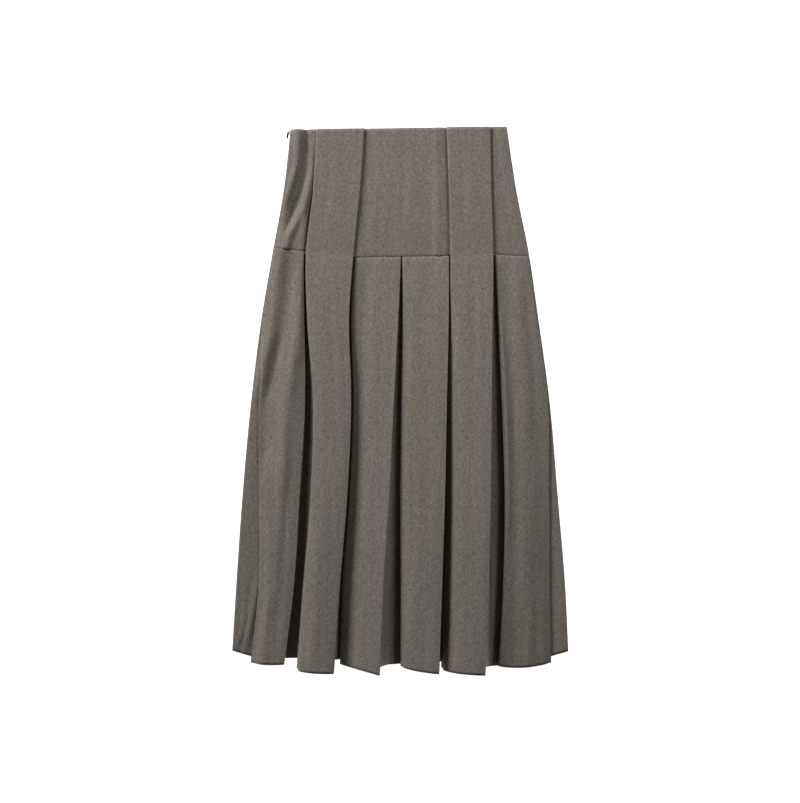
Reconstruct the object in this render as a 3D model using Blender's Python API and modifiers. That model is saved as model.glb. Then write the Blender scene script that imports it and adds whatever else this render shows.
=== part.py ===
"""Pleated maxi skirt, laid out on its back with the front up.

Every cloth piece is a thin wall lofted through lines that run down the cloth. A line knows how
far across the skirt it lies, how high above the surface, and where it starts and ends, at any
distance below the waist. A pleat is a set of such lines: the fold edge that shows, the return
behind it, the inner fold, and the underlay at the bottom of the pleat.

X runs across to the viewer's right, Y up to the waist, Z up from the surface it lies on.
Lengths in the tables are millimetres.
"""

import math
from collections import namedtuple

import bmesh
import bpy
import numpy as np
from mathutils import Vector

MM = 0.001
COLLECTION = "pleated_maxi_skirt"

# Driving sizes of the skirt
WAIST_Y = 442.5
WAIST_TILT = 0.0139
YOKE_DEPTH = 205.0
HEM_DEPTH = 880.0
CLOTH = 1.0
SEAM_GAP = 0.4
SEAM_STRAIGHT = 0.6
YOKE_SEAM_GAP = 0.5

# Heights of the middle of each cloth layer above the surface, from the bottom up
LAYER_PITCH = 1.4
BACK_FACE = CLOTH / 2
BACK_RETURN = BACK_FACE + LAYER_PITCH
BACK_UNDERLAY = BACK_RETURN + LAYER_PITCH
FRONT_UNDERLAY = BACK_UNDERLAY + 1.6
FRONT_RETURN = FRONT_UNDERLAY + LAYER_PITCH
FRONT_FACE = FRONT_RETURN + LAYER_PITCH
LONG_RETURN = FRONT_FACE + 1.6
LONG_FACE = LONG_RETURN + 2.6
YOKE_SINK = FRONT_FACE - FRONT_UNDERLAY
ZIP_SIDE_RISE = 1.8

# How deep a pleat's return is folded at the yoke, and how fast the pleats open below it
PLEAT_DEPTH = 20.0
SIDE_PLEAT_DEPTH = 22.0
OPENING_POWER = 0.75
HEM_TUCK = 9.0
INNER_FOLD_SHARE = 0.35
LONG_SETTLE = 0.15

# Distances below the waist at which the fold edges are placed
STATIONS = (0, 100, 205, 300, 440, 600, 740, 880)

# A fold edge of the front: its place across at each station, its height at the yoke and at
# the hem (the side edges follow the side levels instead), and how far below the waist it ends.
Edge = namedtuple("Edge", "across at_yoke at_hem ends")
FRONT_EDGES = {
    "side_left": Edge((-176.7, -188.1, -206.7, -222.9, -240.7, -255.3, -265.0, -273.6), None, None, 846),
    "crease_left": Edge((-174, -185, -204, -220, -227.8, -227.8, -228.6, -243), FRONT_FACE, 15, 863),
    "side_panel_left": Edge(
        (-155.7, -155.7, -155.7, -154.9, -153.3, -162.2, -171.1, -188.5), FRONT_FACE, 22, 868
    ),
    "long_left_left": Edge(
        (-134.6, -140.3, -151.6, -150.0, -140.3, -144.3, -155.7, -166.4), LONG_FACE, 28, 871
    ),
    "long_left_right": Edge((-57.7, -65.0, -75.5, -82.0, -78.7, -85.2, -96.6, -106.2), LONG_FACE, 41, 880),
    "centre_left_left": Edge((-73.3, -73.3, -73.3, -79.5, -76.5, -82.6, -92.6, -97.0), FRONT_FACE, 17, 866),
    "centre_left_right": Edge((1.2, 1.2, 1.2, -2.6, -9.9, -18.0, -26.9, -32.5), FRONT_FACE, 46, 882),
    "centre_right_left": Edge((3.4, 3.4, 3.4, 3.9, 2.3, 0.6, 1.5, 1.1), FRONT_FACE, 24, 868),
    "centre_right_right": Edge((79.0, 79.0, 79.0, 78.6, 75.4, 71.9, 67.2, 62.3), FRONT_FACE, 44, 881),
    "long_right_left": Edge((75.2, 79.2, 81.6, 81.8, 79.2, 78.2, 76.0, 69.0), LONG_FACE, 20, 871),
    "long_right_right": Edge((145.6, 147.3, 150.4, 148.9, 147.3, 145.2, 141.6, 136.0), LONG_FACE, 46, 882),
    "side_panel_right": Edge((153.2, 153.2, 153.2, 157.8, 164.0, 168.8, 166.0, 157.6), FRONT_FACE, 26, 869),
    "crease_right": Edge((172.6, 185.5, 205.8, 219.6, 238.2, 241.0, 241.6, 244.5), FRONT_FACE, 17, 865),
    "side_right": Edge((175.6, 188.6, 208.8, 222.6, 241.7, 255.5, 267.1, 273.6), None, None, 847),
}

# A face between two fold edges: how soon it rises from its left edge, how much its middle
# crowns at the hem, and the shares of its width at which lines run down it.
Face = namedtuple("Face", "rise crown shares")
FRONT_FACES = {
    "side_panel_left": Face(1.0, 4.0, (0.18, 0.36, 0.58, 0.8)),
    "long_left": Face(0.35, 1.5, (0.12, 0.4, 0.75)),
    "centre_left": Face(0.8, 2.0, (0.15, 0.45, 0.75)),
    "centre_right": Face(0.6, 2.0, (0.15, 0.45, 0.75)),
    "long_right": Face(0.45, 2.0, (0.12, 0.4, 0.75)),
    "side_panel_right": Face(1.0, 4.0, (0.12, 0.3, 0.55, 0.8)),
}

# An inverted pleat of the front: the fold edges on its two sides, where its inner fold ends up
# beside the left edge at the hem, and where the underlay ends.
Pleat = namedtuple("Pleat", "left right lean ends")
FRONT_PLEATS = {
    "side_left": Pleat("side_panel_left", "long_left_left", -4.0, 860),
    "long_left": Pleat("long_left_right", "centre_left_left", -7.0, 859),
    "centre": Pleat("centre_left_right", "centre_right_left", 13.0, 862),
    "long_right": Pleat("centre_right_right", "long_right_left", -6.0, 862),
    "side_right": Pleat("long_right_right", "side_panel_right", 7.0, 864),
}

# Fold edges of the back, which lies flat: place across at the waist, the yoke and the hem.
# The right half mirrors the left.
BACK_EDGES = {
    "side_panel": (-136.0, -153.2, -192.0),
    "long_outer": (-134.0, -151.2, -178.0),
    "long_inner": (-60.0, -77.0, -97.0),
    "centre_outer": (-58.0, -75.0, -82.0),
    "centre_inner": (-1.0, -1.0, -8.0),
}
BACK_HEM = 855.0
BACK_HEM_RISE = 12.0

# The yoke seam's distance below the waist at the ends of each yoke piece
YOKE_SEAMS = {"left": (194.0, 200.0), "centre": (210.0, 207.0), "right": (205.0, 208.0)}
YOKE_TUCK = 20.0

# Soft folds of the left side, where the cloth gathers beside the zip: share of the panel's
# width at the top and how far it drifts, height, half width as a share, and the distances below
# the waist between which it runs.
SoftFold = namedtuple("SoftFold", "share drift height spread start end")
YOKE_FOLDS = (SoftFold(0.52, -0.28, -2.4, 0.2, 5, 200),)
PANEL_FOLDS = (
    SoftFold(0.78, -0.2, 5.0, 0.2, 205, 640),
    SoftFold(0.45, -0.15, -3.0, 0.14, 205, 560),
)

# The side zip
ZIP_LENGTH = 200.0
ZIP_SHARE = 0.3
SLIDER_BELOW = 7.0
SLIDER_GAP = 0.3
SLIDER_SIZE = (1.4, 6.5, 4.6)
BRIDGE_WINDOW = (1.8, 2.6)
BRIDGE_WALL = 0.6
BRIDGE_WIDTH = 1.4
PULL_THICKNESS = 0.9
PULL_WIDTH = 4.4
PULL_LENGTH = 11.0
PULL_HOLE = 2.5
PULL_LEAN = 10.0

FRONT_ROWS = 10
BACK_ROWS = 5
YOKE_ROWS = 6
LONG_YOKE_ROWS = 5

Line = namedtuple("Line", "across height start end")


def clamp(value, low=0.0, high=1.0):
    return min(max(value, low), high)


def ease(value):
    """0 to 1 with a soft start and end."""
    value = clamp(value)
    return value * value * (3 - 2 * value)


def run(values, stations=STATIONS):
    """A smooth run through one value for each station, as a function of the distance below the waist."""
    knots, heights = np.array(stations, float), np.array(values, float)
    slopes = np.gradient(heights, knots)

    def at(below):
        below = clamp(below, knots[0], knots[-1])
        i = min(int(np.searchsorted(knots, below, side="right")) - 1, len(knots) - 2)
        span = knots[i + 1] - knots[i]
        u = (below - knots[i]) / span
        start = (1 + 2 * u) * (1 - u) ** 2 * heights[i] + u * (1 - u) ** 2 * span * slopes[i]
        end = u * u * (3 - 2 * u) * heights[i + 1] + u * u * (u - 1) * span * slopes[i + 1]
        return float(start + end)

    return at


def opening(below):
    """How far the pleats have opened: 0 down to the yoke seam, 1 at the hem."""
    return clamp((below - YOKE_DEPTH) / (HEM_DEPTH - YOKE_DEPTH)) ** OPENING_POWER


def yoke_drop(below):
    """How much lower the front lies than at the yoke seam, because there are no pleats under it."""
    return YOKE_SINK * (1 - ease(below / YOKE_DEPTH))


def edge_height(edge):
    def at(below):
        return edge.at_yoke - yoke_drop(below) + (edge.at_hem - edge.at_yoke) * opening(below)

    return at


def seam_at(side, across, left, right):
    """The yoke seam's distance below the waist at a place across."""
    outer, inner = YOKE_SEAMS[side]
    return outer + (inner - outer) * clamp((across - left) / (right - left))


def shifted(line, across=0.0, height=0.0, end=None):
    """A line moved sideways and up by a fixed amount or by a function of the distance below the waist."""
    move = across if callable(across) else lambda below: across
    lift = height if callable(height) else lambda below: height
    return Line(
        lambda below: line.across(below) + move(below),
        lambda below: line.height(below) + lift(below),
        line.start,
        line.end if end is None else end,
    )


def between(first, second, share, end=None):
    """A line that lies a share of the way from one line to another."""

    def blend(a, b):
        return lambda below: a(below) * (1 - share) + b(below) * share

    return Line(
        blend(first.across, second.across),
        blend(first.height, second.height),
        first.start * (1 - share) + second.start * share,
        first.end * (1 - share) + second.end * share if end is None else end,
    )


def soft_folds(folds, share, below):
    """How far soft folds lift the cloth at a share of the panel's width."""
    lift = 0.0
    for fold in folds:
        along = clamp((below - fold.start) / (fold.end - fold.start))
        middle = fold.share + fold.drift * along
        lift += fold.height * math.exp(-(((share - middle) / fold.spread) ** 2)) * math.sin(math.pi * along)
    return lift


def face_lines(left, right, face, folds=()):
    """The lines down a face, between its two fold edges."""
    lines = []
    for share in face.shares:
        lift = share**face.rise

        def across(below, share=share):
            return left.across(below) * (1 - share) + right.across(below) * share

        def height(below, share=share, lift=lift):
            level = left.height(below) * (1 - lift) + right.height(below) * lift
            crown = face.crown * 4 * share * (1 - share) * opening(below)
            return max(level + crown + soft_folds(folds, share, below), FRONT_FACE)

        start = left.start * (1 - share) + right.start * share
        end = left.end * (1 - lift) + right.end * lift
        lines.append(Line(across, height, start, end))
    return lines


def front_line(name, start):
    """A fold edge of the front as a line that starts at the waist or at the yoke seam."""
    edge = FRONT_EDGES[name]
    return Line(run(edge.across), edge_height(edge), start, edge.ends)


def underside(edge):
    """The line a cloth's pitch below a fold edge, where its return starts."""
    return shifted(edge, height=-LAYER_PITCH)


def pleat_left_fold(edge, lean, floor, ends):
    """A fold edge on the left of a pleat and its return, down to the inner fold."""

    def inner_across(below):
        opened = opening(below)
        return edge.across(below) - PLEAT_DEPTH * (1 - opened) + lean * opened

    def inner_height(below):
        low = floor(below)
        return low + (edge.height(below) - LAYER_PITCH - low) * INNER_FOLD_SHARE * opening(below)

    inner = Line(inner_across, inner_height, edge.start, ends)
    return [edge, underside(edge), between(underside(edge), inner, 0.55), inner]


def pleat_right_fold(edge, floor, ends):
    """A return from its inner fold up to the fold edge on the right of a pleat."""

    def inner_across(below):
        opened = opening(below)
        return edge.across(below) + PLEAT_DEPTH * (1 - opened) + HEM_TUCK * opened

    inner = Line(inner_across, floor, edge.start, ends)
    return [inner, between(inner, underside(edge), 0.5), underside(edge), edge]


def underlay(inner_left, inner_right, ends):
    """The cloth at the bottom of a pleat, from under one inner fold to under the other."""
    first = shifted(
        inner_left,
        across=lambda below: 3 * opening(below),
        height=lambda below: -LAYER_PITCH - 1.6 * opening(below),
        end=ends,
    )
    last = Line(inner_right.across, lambda below: FRONT_UNDERLAY, inner_right.start, ends)
    return [first, between(first, last, 0.5), last]


def resting(below):
    """The height of a return where it lies on the underlay."""
    return FRONT_RETURN


def resting_long(below):
    """The same for the long pleats, which lie on the yoke as well and settle just below it."""
    settled = ease((below - YOKE_DEPTH) / (HEM_DEPTH - YOKE_DEPTH) / LONG_SETTLE)
    return FRONT_RETURN + (LONG_RETURN - FRONT_RETURN) * (1 - settled) - yoke_drop(below)


def level_beside_zip(below):
    """The front's height at the left side seam, where the zip holds it up."""
    return FRONT_UNDERLAY + ZIP_SIDE_RISE * (1 - ease(below / YOKE_DEPTH))


def level_beside_seam(below):
    """The front's height at the right side seam."""
    return FRONT_UNDERLAY


SIDE_LEVELS = {"left": level_beside_zip, "right": level_beside_seam}


def side_roll(side, level, inward):
    """The front's roll round a side edge, from the flat of the cloth to the side seam."""

    def radius(below):
        return (level(below) - BACK_FACE) / 2

    top = Line(
        lambda below: side.across(below) + inward * radius(below), level, side.start, side.end
    )
    shoulder = Line(
        lambda below: side.across(below) + inward * 0.3 * radius(below),
        lambda below: level(below) - 0.3 * radius(below),
        side.start,
        side.end,
    )

    def above_seam(step):
        return Line(side.across, lambda below: BACK_FACE + radius(below) + step, side.start, side.end)

    return [top, shoulder, above_seam(SEAM_STRAIGHT), above_seam(SEAM_GAP / 2)]


def side_pleat(crease, side, level, inward):
    """The pleat beside a side seam: the crease's return, its inner fold and the strip out to the side."""
    inner_top = Line(
        lambda below: crease.across(below) + inward * SIDE_PLEAT_DEPTH,
        lambda below: FRONT_RETURN,
        crease.start,
        crease.end - 3,
    )
    inner_low = shifted(inner_top, height=-LAYER_PITCH)
    roll = side_roll(side, level, inward)
    strip = between(inner_low, roll[0], 0.6)
    middle = between(underside(crease), inner_top, 0.5)
    return [crease, underside(crease), middle, inner_top, inner_low, strip, *roll]


def rows_between(count):
    """Evenly spaced shares from 0 to 1."""
    return [i / count for i in range(count + 1)]


def cloth_wall(name, lines, shares, material):
    """A wall of cloth lofted through lines, with a row of points at each share of their length."""
    mesh = bpy.data.meshes.new(name)
    grid = bmesh.new()
    rows = []
    for share in shares:
        points = []
        for line in lines:
            below = line.start + (line.end - line.start) * share
            place = (line.across(below), WAIST_Y - below, line.height(below))
            points.append(grid.verts.new([value * MM for value in place]))
        rows.append(points)
    for upper, lower in zip(rows, rows[1:]):
        for i in range(len(lines) - 1):
            grid.faces.new((lower[i], lower[i + 1], upper[i + 1], upper[i]))
    grid.to_mesh(mesh)
    grid.free()
    mesh.shade_smooth()
    mesh.set_sharp_from_angle(angle=math.radians(35))
    wall = bpy.data.objects.new(name, mesh)
    wall.data.materials.append(material)
    bpy.data.collections[COLLECTION].objects.link(wall)
    solidify = wall.modifiers.new("cloth thickness", "SOLIDIFY")
    solidify.thickness = CLOTH * MM
    solidify.offset = 0
    solidify.use_even_offset = True
    return wall


def waist_start(name):
    return -WAIST_TILT * FRONT_EDGES[name].across[0]


def long_pleat(side, pleat_on_left, pleat_on_right, material):
    """One of the two long pleats, which run from the waist to the hem over the yoke."""
    edges = (f"long_{side}_left", f"long_{side}_right")
    left, right = (front_line(name, waist_start(name)) for name in edges)
    left_fold = pleat_right_fold(left, resting_long, FRONT_PLEATS[pleat_on_left].ends)
    pleat = FRONT_PLEATS[pleat_on_right]
    right_fold = pleat_left_fold(right, pleat.lean, resting_long, pleat.ends)
    lines = [*left_fold, *face_lines(left, right, FRONT_FACES[f"long_{side}"]), *right_fold]
    yoke_share = YOKE_DEPTH / HEM_DEPTH
    shares = [share * yoke_share for share in rows_between(LONG_YOKE_ROWS)]
    shares += [yoke_share + share * (1 - yoke_share) for share in rows_between(FRONT_ROWS)[1:]]
    return cloth_wall(f"front_long_pleat_{side}", lines, shares, material)


def yoke_line(across, height, side, left, right, tilt_at):
    """A line down a yoke piece, from the waist to just above the yoke seam."""
    end = seam_at(side, across(YOKE_DEPTH), left, right) - YOKE_SEAM_GAP / 2
    return Line(across, height, -WAIST_TILT * tilt_at, end)


def front_yoke_height(below):
    return FRONT_FACE - yoke_drop(below)


def front_centre_yoke(material):
    """The centre front yoke, which runs under both long pleats."""
    left, right = (run(FRONT_EDGES[name].across) for name in ("long_left_right", "long_right_left"))
    ends = (left(YOKE_DEPTH), right(YOKE_DEPTH))
    lines = []
    for share in (0.0, 0.12, 0.3, 0.5, 0.7, 0.88, 1.0):

        def across(below, share=share):
            return (left(below) - YOKE_TUCK) * (1 - share) + (right(below) + YOKE_TUCK) * share

        lines.append(yoke_line(across, front_yoke_height, "centre", *ends, across(0)))
    return cloth_wall("front_centre_yoke", lines, rows_between(YOKE_ROWS), material)


def front_side_yoke(side, long_edge, folds, material):
    """A side front yoke, from the side seam to under the long pleat."""
    inward = 1 if side == "left" else -1
    level = SIDE_LEVELS[side]
    outer = run(FRONT_EDGES[f"side_{side}"].across)
    inner = run(FRONT_EDGES[long_edge].across)
    ends = sorted((outer(YOKE_DEPTH), inner(YOKE_DEPTH)))
    side_line = yoke_line(outer, level, side, *ends, outer(0))
    roll = side_roll(side_line, level, inward)
    lines = list(reversed(roll))
    for share in (0.22, 0.4, 0.6, 0.8, 1.0):

        def across(below, share=share):
            return outer(below) * (1 - share) + (inner(below) + inward * YOKE_TUCK) * share

        def height(below, share=share):
            flat = level(below) * (1 - share) + front_yoke_height(below) * share
            return flat + soft_folds(folds, share, below)

        lines.append(yoke_line(across, height, side, *ends, across(0)))
    if inward < 0:
        lines.reverse()
    return cloth_wall(f"front_side_yoke_{side}", lines, rows_between(YOKE_ROWS), material)


def below_yoke(name):
    """A fold edge of the front as a line that starts at the yoke seam."""
    return front_line(name, YOKE_DEPTH)


def from_seam(lines, side, left, right):
    """The lines of a panel, each of them started just below the yoke seam."""
    ends = sorted((left.across(YOKE_DEPTH), right.across(YOKE_DEPTH)))
    gap = YOKE_SEAM_GAP / 2
    return [line._replace(start=seam_at(side, line.across(YOKE_DEPTH), *ends) + gap) for line in lines]


def front_side_panel(side, folds, material):
    """A side front panel below the yoke, with the pleat that runs out to the side seam."""
    on_left = side == "left"
    inward = 1 if on_left else -1
    panel_edge = f"side_panel_{side}"
    edge, crease, panel = (below_yoke(name) for name in (f"side_{side}", f"crease_{side}", panel_edge))
    pleat = FRONT_PLEATS[f"side_{side}"]
    outer = side_pleat(crease, edge, SIDE_LEVELS[side], inward)
    if on_left:
        across_panel = face_lines(crease, panel, FRONT_FACES[panel_edge], folds)
        fold = pleat_left_fold(panel, pleat.lean, resting, pleat.ends)
        partner = below_yoke(pleat.right)
        far = pleat_right_fold(partner, resting, pleat.ends)[0]
        under = underlay(fold[-1], far, pleat.ends)
        lines = [*reversed(outer), *across_panel, *fold, *under]
    else:
        across_panel = face_lines(panel, crease, FRONT_FACES[panel_edge], folds)
        partner = below_yoke(pleat.left)
        near = pleat_left_fold(partner, pleat.lean, resting_long, pleat.ends)[-1]
        fold = pleat_right_fold(panel, resting, pleat.ends)
        under = underlay_of_long(near, fold[0], pleat.ends)
        lines = [*under, *fold, *across_panel, *outer]
    lines = from_seam(lines, side, edge, partner)
    return cloth_wall(f"front_side_panel_{side}", lines, rows_between(FRONT_ROWS), material)


def underlay_of_long(inner_left, inner_right, ends):
    """The underlay that starts under a long pleat's inner fold, where it lies flat below the yoke."""
    under_fold, _, last = underlay(inner_left, inner_right, ends)

    def height(below):
        settled = ease((below - YOKE_DEPTH) / (HEM_DEPTH - YOKE_DEPTH) / LONG_SETTLE)
        return FRONT_UNDERLAY + (under_fold.height(below) - FRONT_UNDERLAY) * settled

    first = Line(under_fold.across, height, under_fold.start, under_fold.end)
    return [first, between(first, last, 0.5), last]


def front_centre_panels(material):
    """The two centre front panels below the yoke, which are joined inside the centre pleat."""
    names = ("centre_left_left", "centre_left_right", "centre_right_left", "centre_right_right")
    first, second, third, fourth = (below_yoke(name) for name in names)
    left_pleat, centre, right_pleat = (FRONT_PLEATS[name] for name in ("long_left", "centre", "long_right"))
    long_left, long_right = below_yoke(left_pleat.left), below_yoke(right_pleat.right)

    near = pleat_left_fold(long_left, left_pleat.lean, resting_long, left_pleat.ends)[-1]
    left_fold = pleat_right_fold(first, resting, left_pleat.ends)
    centre_left = pleat_left_fold(second, centre.lean, resting, centre.ends)
    centre_right = pleat_right_fold(third, resting, centre.ends)
    right_fold = pleat_left_fold(fourth, right_pleat.lean, resting, right_pleat.ends)
    far = pleat_right_fold(long_right, resting, right_pleat.ends)[0]

    left = [*underlay_of_long(near, left_fold[0], left_pleat.ends), *left_fold]
    left += [*face_lines(first, second, FRONT_FACES["centre_left"]), *centre_left]
    left += underlay(centre_left[-1], centre_right[0], centre.ends)
    right = [*centre_right, *face_lines(third, fourth, FRONT_FACES["centre_right"]), *right_fold]
    right += underlay(right_fold[-1], far, right_pleat.ends)
    for side, lines in (("left", left), ("right", right)):
        lines = from_seam(lines, "centre", long_left, long_right)
        cloth_wall(f"front_centre_panel_{side}", lines, rows_between(FRONT_ROWS), material)


def back_edge(name, mirror):
    """A fold edge of the back as a function of the distance below the waist."""
    places = [mirror * place for place in BACK_EDGES[name]]
    return run(places, (0, YOKE_DEPTH, HEM_DEPTH))


def back_hem(across):
    """The back's hem, which rises to the sides."""
    reach = FRONT_EDGES["side_right"].across[-1]
    return BACK_HEM - BACK_HEM_RISE * (across / reach) ** 2


def back_line(across, height, start):
    level = height if callable(height) else lambda below: height
    return Line(across, level, start, back_hem(across(HEM_DEPTH)))


def moved(across, step):
    return lambda below: across(below) + step


def back_side_roll(side_edge, level, inward, start, end):
    """The back's roll up to the side seam, from the seam to the flat of the cloth."""
    side = run(FRONT_EDGES[side_edge].across)

    def radius(below):
        return (level(below) - BACK_FACE) / 2

    def below_seam(step):
        return Line(side, lambda below: BACK_FACE + radius(below) - step, start, end)

    heel = Line(
        lambda below: side(below) + inward * 0.3 * radius(below),
        lambda below: BACK_FACE + 0.3 * radius(below),
        start,
        end,
    )
    flat = Line(lambda below: side(below) + inward * radius(below), lambda below: BACK_FACE, start, end)
    return [below_seam(SEAM_GAP / 2), below_seam(SEAM_STRAIGHT), heel, flat]


def right_to_left(lines, mirror):
    """Lines in order across, from the viewer's left to right."""
    return lines if mirror > 0 else list(reversed(lines))


def back_side_panel(side, mirror, material):
    """A side back panel below the yoke, with its underlay under the long pleat."""
    start = YOKE_DEPTH + SEAM_GAP / 2
    hem = back_hem(FRONT_EDGES[f"side_{side}"].across[-1])
    lines = back_side_roll(f"side_{side}", SIDE_LEVELS[side], mirror, start, hem)
    panel = back_edge("side_panel", mirror)
    long_outer = back_edge("long_outer", mirror)
    inner = moved(panel, -mirror * PLEAT_DEPTH)
    tuck = moved(long_outer, mirror * PLEAT_DEPTH)
    folds = [(panel, BACK_FACE), (panel, BACK_RETURN), (inner, BACK_RETURN)]
    folds += [(inner, BACK_UNDERLAY), (tuck, BACK_UNDERLAY)]
    lines += [back_line(across, height, start) for across, height in folds]
    return cloth_wall(
        f"back_side_panel_{side}", right_to_left(lines, mirror), rows_between(BACK_ROWS), material
    )


def back_long_pleat(name, mirror, material):
    """One of the back's long pleats, from the waist to the hem, face down."""
    outer, inner = back_edge("long_outer", mirror), back_edge("long_inner", mirror)
    outer_tuck = moved(outer, mirror * (PLEAT_DEPTH - 2))
    inner_tuck = moved(inner, -mirror * (PLEAT_DEPTH - 2))
    folds = [(outer_tuck, BACK_RETURN), (outer, BACK_RETURN), (outer, BACK_FACE)]
    folds += [(inner, BACK_FACE), (inner, BACK_RETURN), (inner_tuck, BACK_RETURN)]
    lines = [back_line(across, height, -WAIST_TILT * across(0)) for across, height in folds]
    return cloth_wall(name, right_to_left(lines, mirror), rows_between(BACK_ROWS + 2), material)


def back_centre_panel(material):
    """The centre back below the yoke: two faces that meet at the centre pleat, and the underlays."""
    start = YOKE_DEPTH + SEAM_GAP / 2
    half = []
    inner, outer = back_edge("long_inner", 1), back_edge("centre_outer", 1)
    centre = back_edge("centre_inner", 1)
    half += [(moved(inner, -PLEAT_DEPTH), BACK_UNDERLAY), (moved(outer, PLEAT_DEPTH), BACK_UNDERLAY)]
    half += [(moved(outer, PLEAT_DEPTH), BACK_RETURN), (outer, BACK_RETURN), (outer, BACK_FACE)]
    half += [(centre, BACK_FACE), (centre, BACK_RETURN)]
    half += [(moved(centre, -PLEAT_DEPTH), BACK_RETURN), (moved(centre, -PLEAT_DEPTH), BACK_UNDERLAY)]
    other = [(lambda below, a=across: -a(below), height) for across, height in reversed(half)]
    lines = [back_line(across, height, start) for across, height in half + other]
    return cloth_wall("back_centre_panel", lines, rows_between(BACK_ROWS), material)


def back_centre_yoke(material):
    """The centre back yoke: its middle lies on the surface, and its sides lift over the long pleats."""
    inner = back_edge("long_inner", 1)
    half = [
        (moved(inner, -YOKE_TUCK), BACK_UNDERLAY),
        (moved(inner, 2), BACK_UNDERLAY),
        (moved(inner, 12), BACK_FACE),
    ]
    other = [(lambda below, a=across: -a(below), height) for across, height in reversed(half)]
    end = YOKE_DEPTH - SEAM_GAP / 2
    lines = [
        Line(across, lambda below, h=height: h, -WAIST_TILT * across(0), end)
        for across, height in half + other
    ]
    return cloth_wall("back_centre_yoke", lines, rows_between(YOKE_ROWS), material)


def back_side_yoke(side, mirror, material):
    """A side back yoke, from the side seam to over the long pleat's return."""
    start = waist_start(f"side_{side}")
    end = YOKE_DEPTH - SEAM_GAP / 2
    lines = back_side_roll(f"side_{side}", SIDE_LEVELS[side], mirror, start, end)
    outer = back_edge("long_outer", mirror)
    folds = [(moved(outer, -mirror * 12), BACK_FACE), (moved(outer, -mirror * 2), BACK_UNDERLAY)]
    folds += [(moved(outer, mirror * YOKE_TUCK), BACK_UNDERLAY)]
    lines += [
        Line(across, lambda below, h=height: h, -WAIST_TILT * across(0), end) for across, height in folds
    ]
    return cloth_wall(
        f"back_side_yoke_{side}", right_to_left(lines, mirror), rows_between(YOKE_ROWS), material
    )


def zip_middle(below):
    """The height of the side seam's slit beside the zip."""
    return (level_beside_zip(below) + BACK_FACE) / 2


def side_zip_strip(material):
    """The zip's closed chain, just inside the left side seam."""
    side = run(FRONT_EDGES["side_left"].across)
    start = -WAIST_TILT * side(0) + 4

    def reach(below):
        return ZIP_SHARE * (level_beside_zip(below) - BACK_FACE) / 2

    def at_height(sign):
        height = lambda below: zip_middle(below) + sign * reach(below)
        return Line(moved(side, 1.35), height, start, ZIP_LENGTH)

    lines = [at_height(-1), at_height(1)]
    strip = cloth_wall("side_zip_chain", lines, rows_between(YOKE_ROWS), material)
    strip.modifiers[0].thickness = 0.7 * MM
    return strip


def bevelled_box(name, size, centre, bevel):
    """A box of that size in millimetres, with its edges rounded."""
    bpy.ops.mesh.primitive_cube_add(size=1, location=[value * MM for value in centre])
    box = bpy.context.object
    box.name = name
    box.scale = [value * MM for value in size]
    bpy.ops.object.transform_apply(location=False, rotation=False, scale=True)
    if bevel:
        rounding = box.modifiers.new("rounded edges", "BEVEL")
        rounding.width = bevel * MM
        rounding.segments = 2
    return box


def into_collection(thing, collection):
    for holder in list(thing.users_collection):
        holder.objects.unlink(thing)
    collection.objects.link(thing)


def boolean(target, cutter, operation, helpers):
    """Cuts or joins target with a helper, which isn't part of the skirt."""
    joint = target.modifiers.new(operation.lower(), "BOOLEAN")
    joint.operation = operation
    joint.object = cutter
    cutter.hide_render = True
    cutter.display_type = "WIRE"
    into_collection(cutter, helpers)


def pull_pivot_place():
    """Where the pull tab turns on the slider's bridge."""
    side = run(FRONT_EDGES["side_left"].across)(SLIDER_BELOW + SLIDER_SIZE[1] / 2)
    bar = side - CLOTH / 2 - SLIDER_GAP - SLIDER_SIZE[0] - BRIDGE_WINDOW[0] / 2
    return bar, WAIST_Y - SLIDER_BELOW, zip_middle(SLIDER_BELOW)


def zip_slider(material, parts, helpers):
    """The slider at the top of the zip: a body outside the seam, with a bridge that holds the pull tab."""
    bar, along, height = pull_pivot_place()
    body_x = bar + BRIDGE_WINDOW[0] / 2 + SLIDER_SIZE[0] / 2
    slider = bevelled_box("zip_slider", SLIDER_SIZE, (body_x, along, height), 0.4)
    window_x, window_y = BRIDGE_WINDOW
    arch_depth = window_x + BRIDGE_WALL + 0.2
    arch_x = bar + window_x / 2 + 0.2 - arch_depth / 2
    arch_size = (arch_depth, window_y + 2 * BRIDGE_WALL, BRIDGE_WIDTH)
    arch = bevelled_box("bridge_block", arch_size, (arch_x, along, height), 0)
    window = bevelled_box("bridge_window", (window_x, window_y, 2 * BRIDGE_WIDTH), (bar, along, height), 0)
    boolean(arch, window, "DIFFERENCE", helpers)
    boolean(slider, arch, "UNION", helpers)
    slider.data.materials.append(material)
    into_collection(slider, parts)
    return slider


def rounded_outline(spline, width, top, bottom, corner):
    """A closed outline with rounded lower corners, in the curve's own plane, in millimetres."""
    half = width / 2
    steps = 5
    points = [(-half, top), (-half, bottom + corner)]
    for i in range(1, steps + 1):
        angle = math.pi / 2 * i / steps
        across, along = math.cos(angle), math.sin(angle)
        points.append((-half + corner - corner * across, bottom + corner - corner * along))
    points += [(-x, y) for x, y in reversed(points)]
    spline.points.add(len(points) - 1)
    for point, (x, y) in zip(spline.points, points):
        point.co = (x * MM, y * MM, 0, 1)
    spline.use_cyclic_u = True


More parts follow.
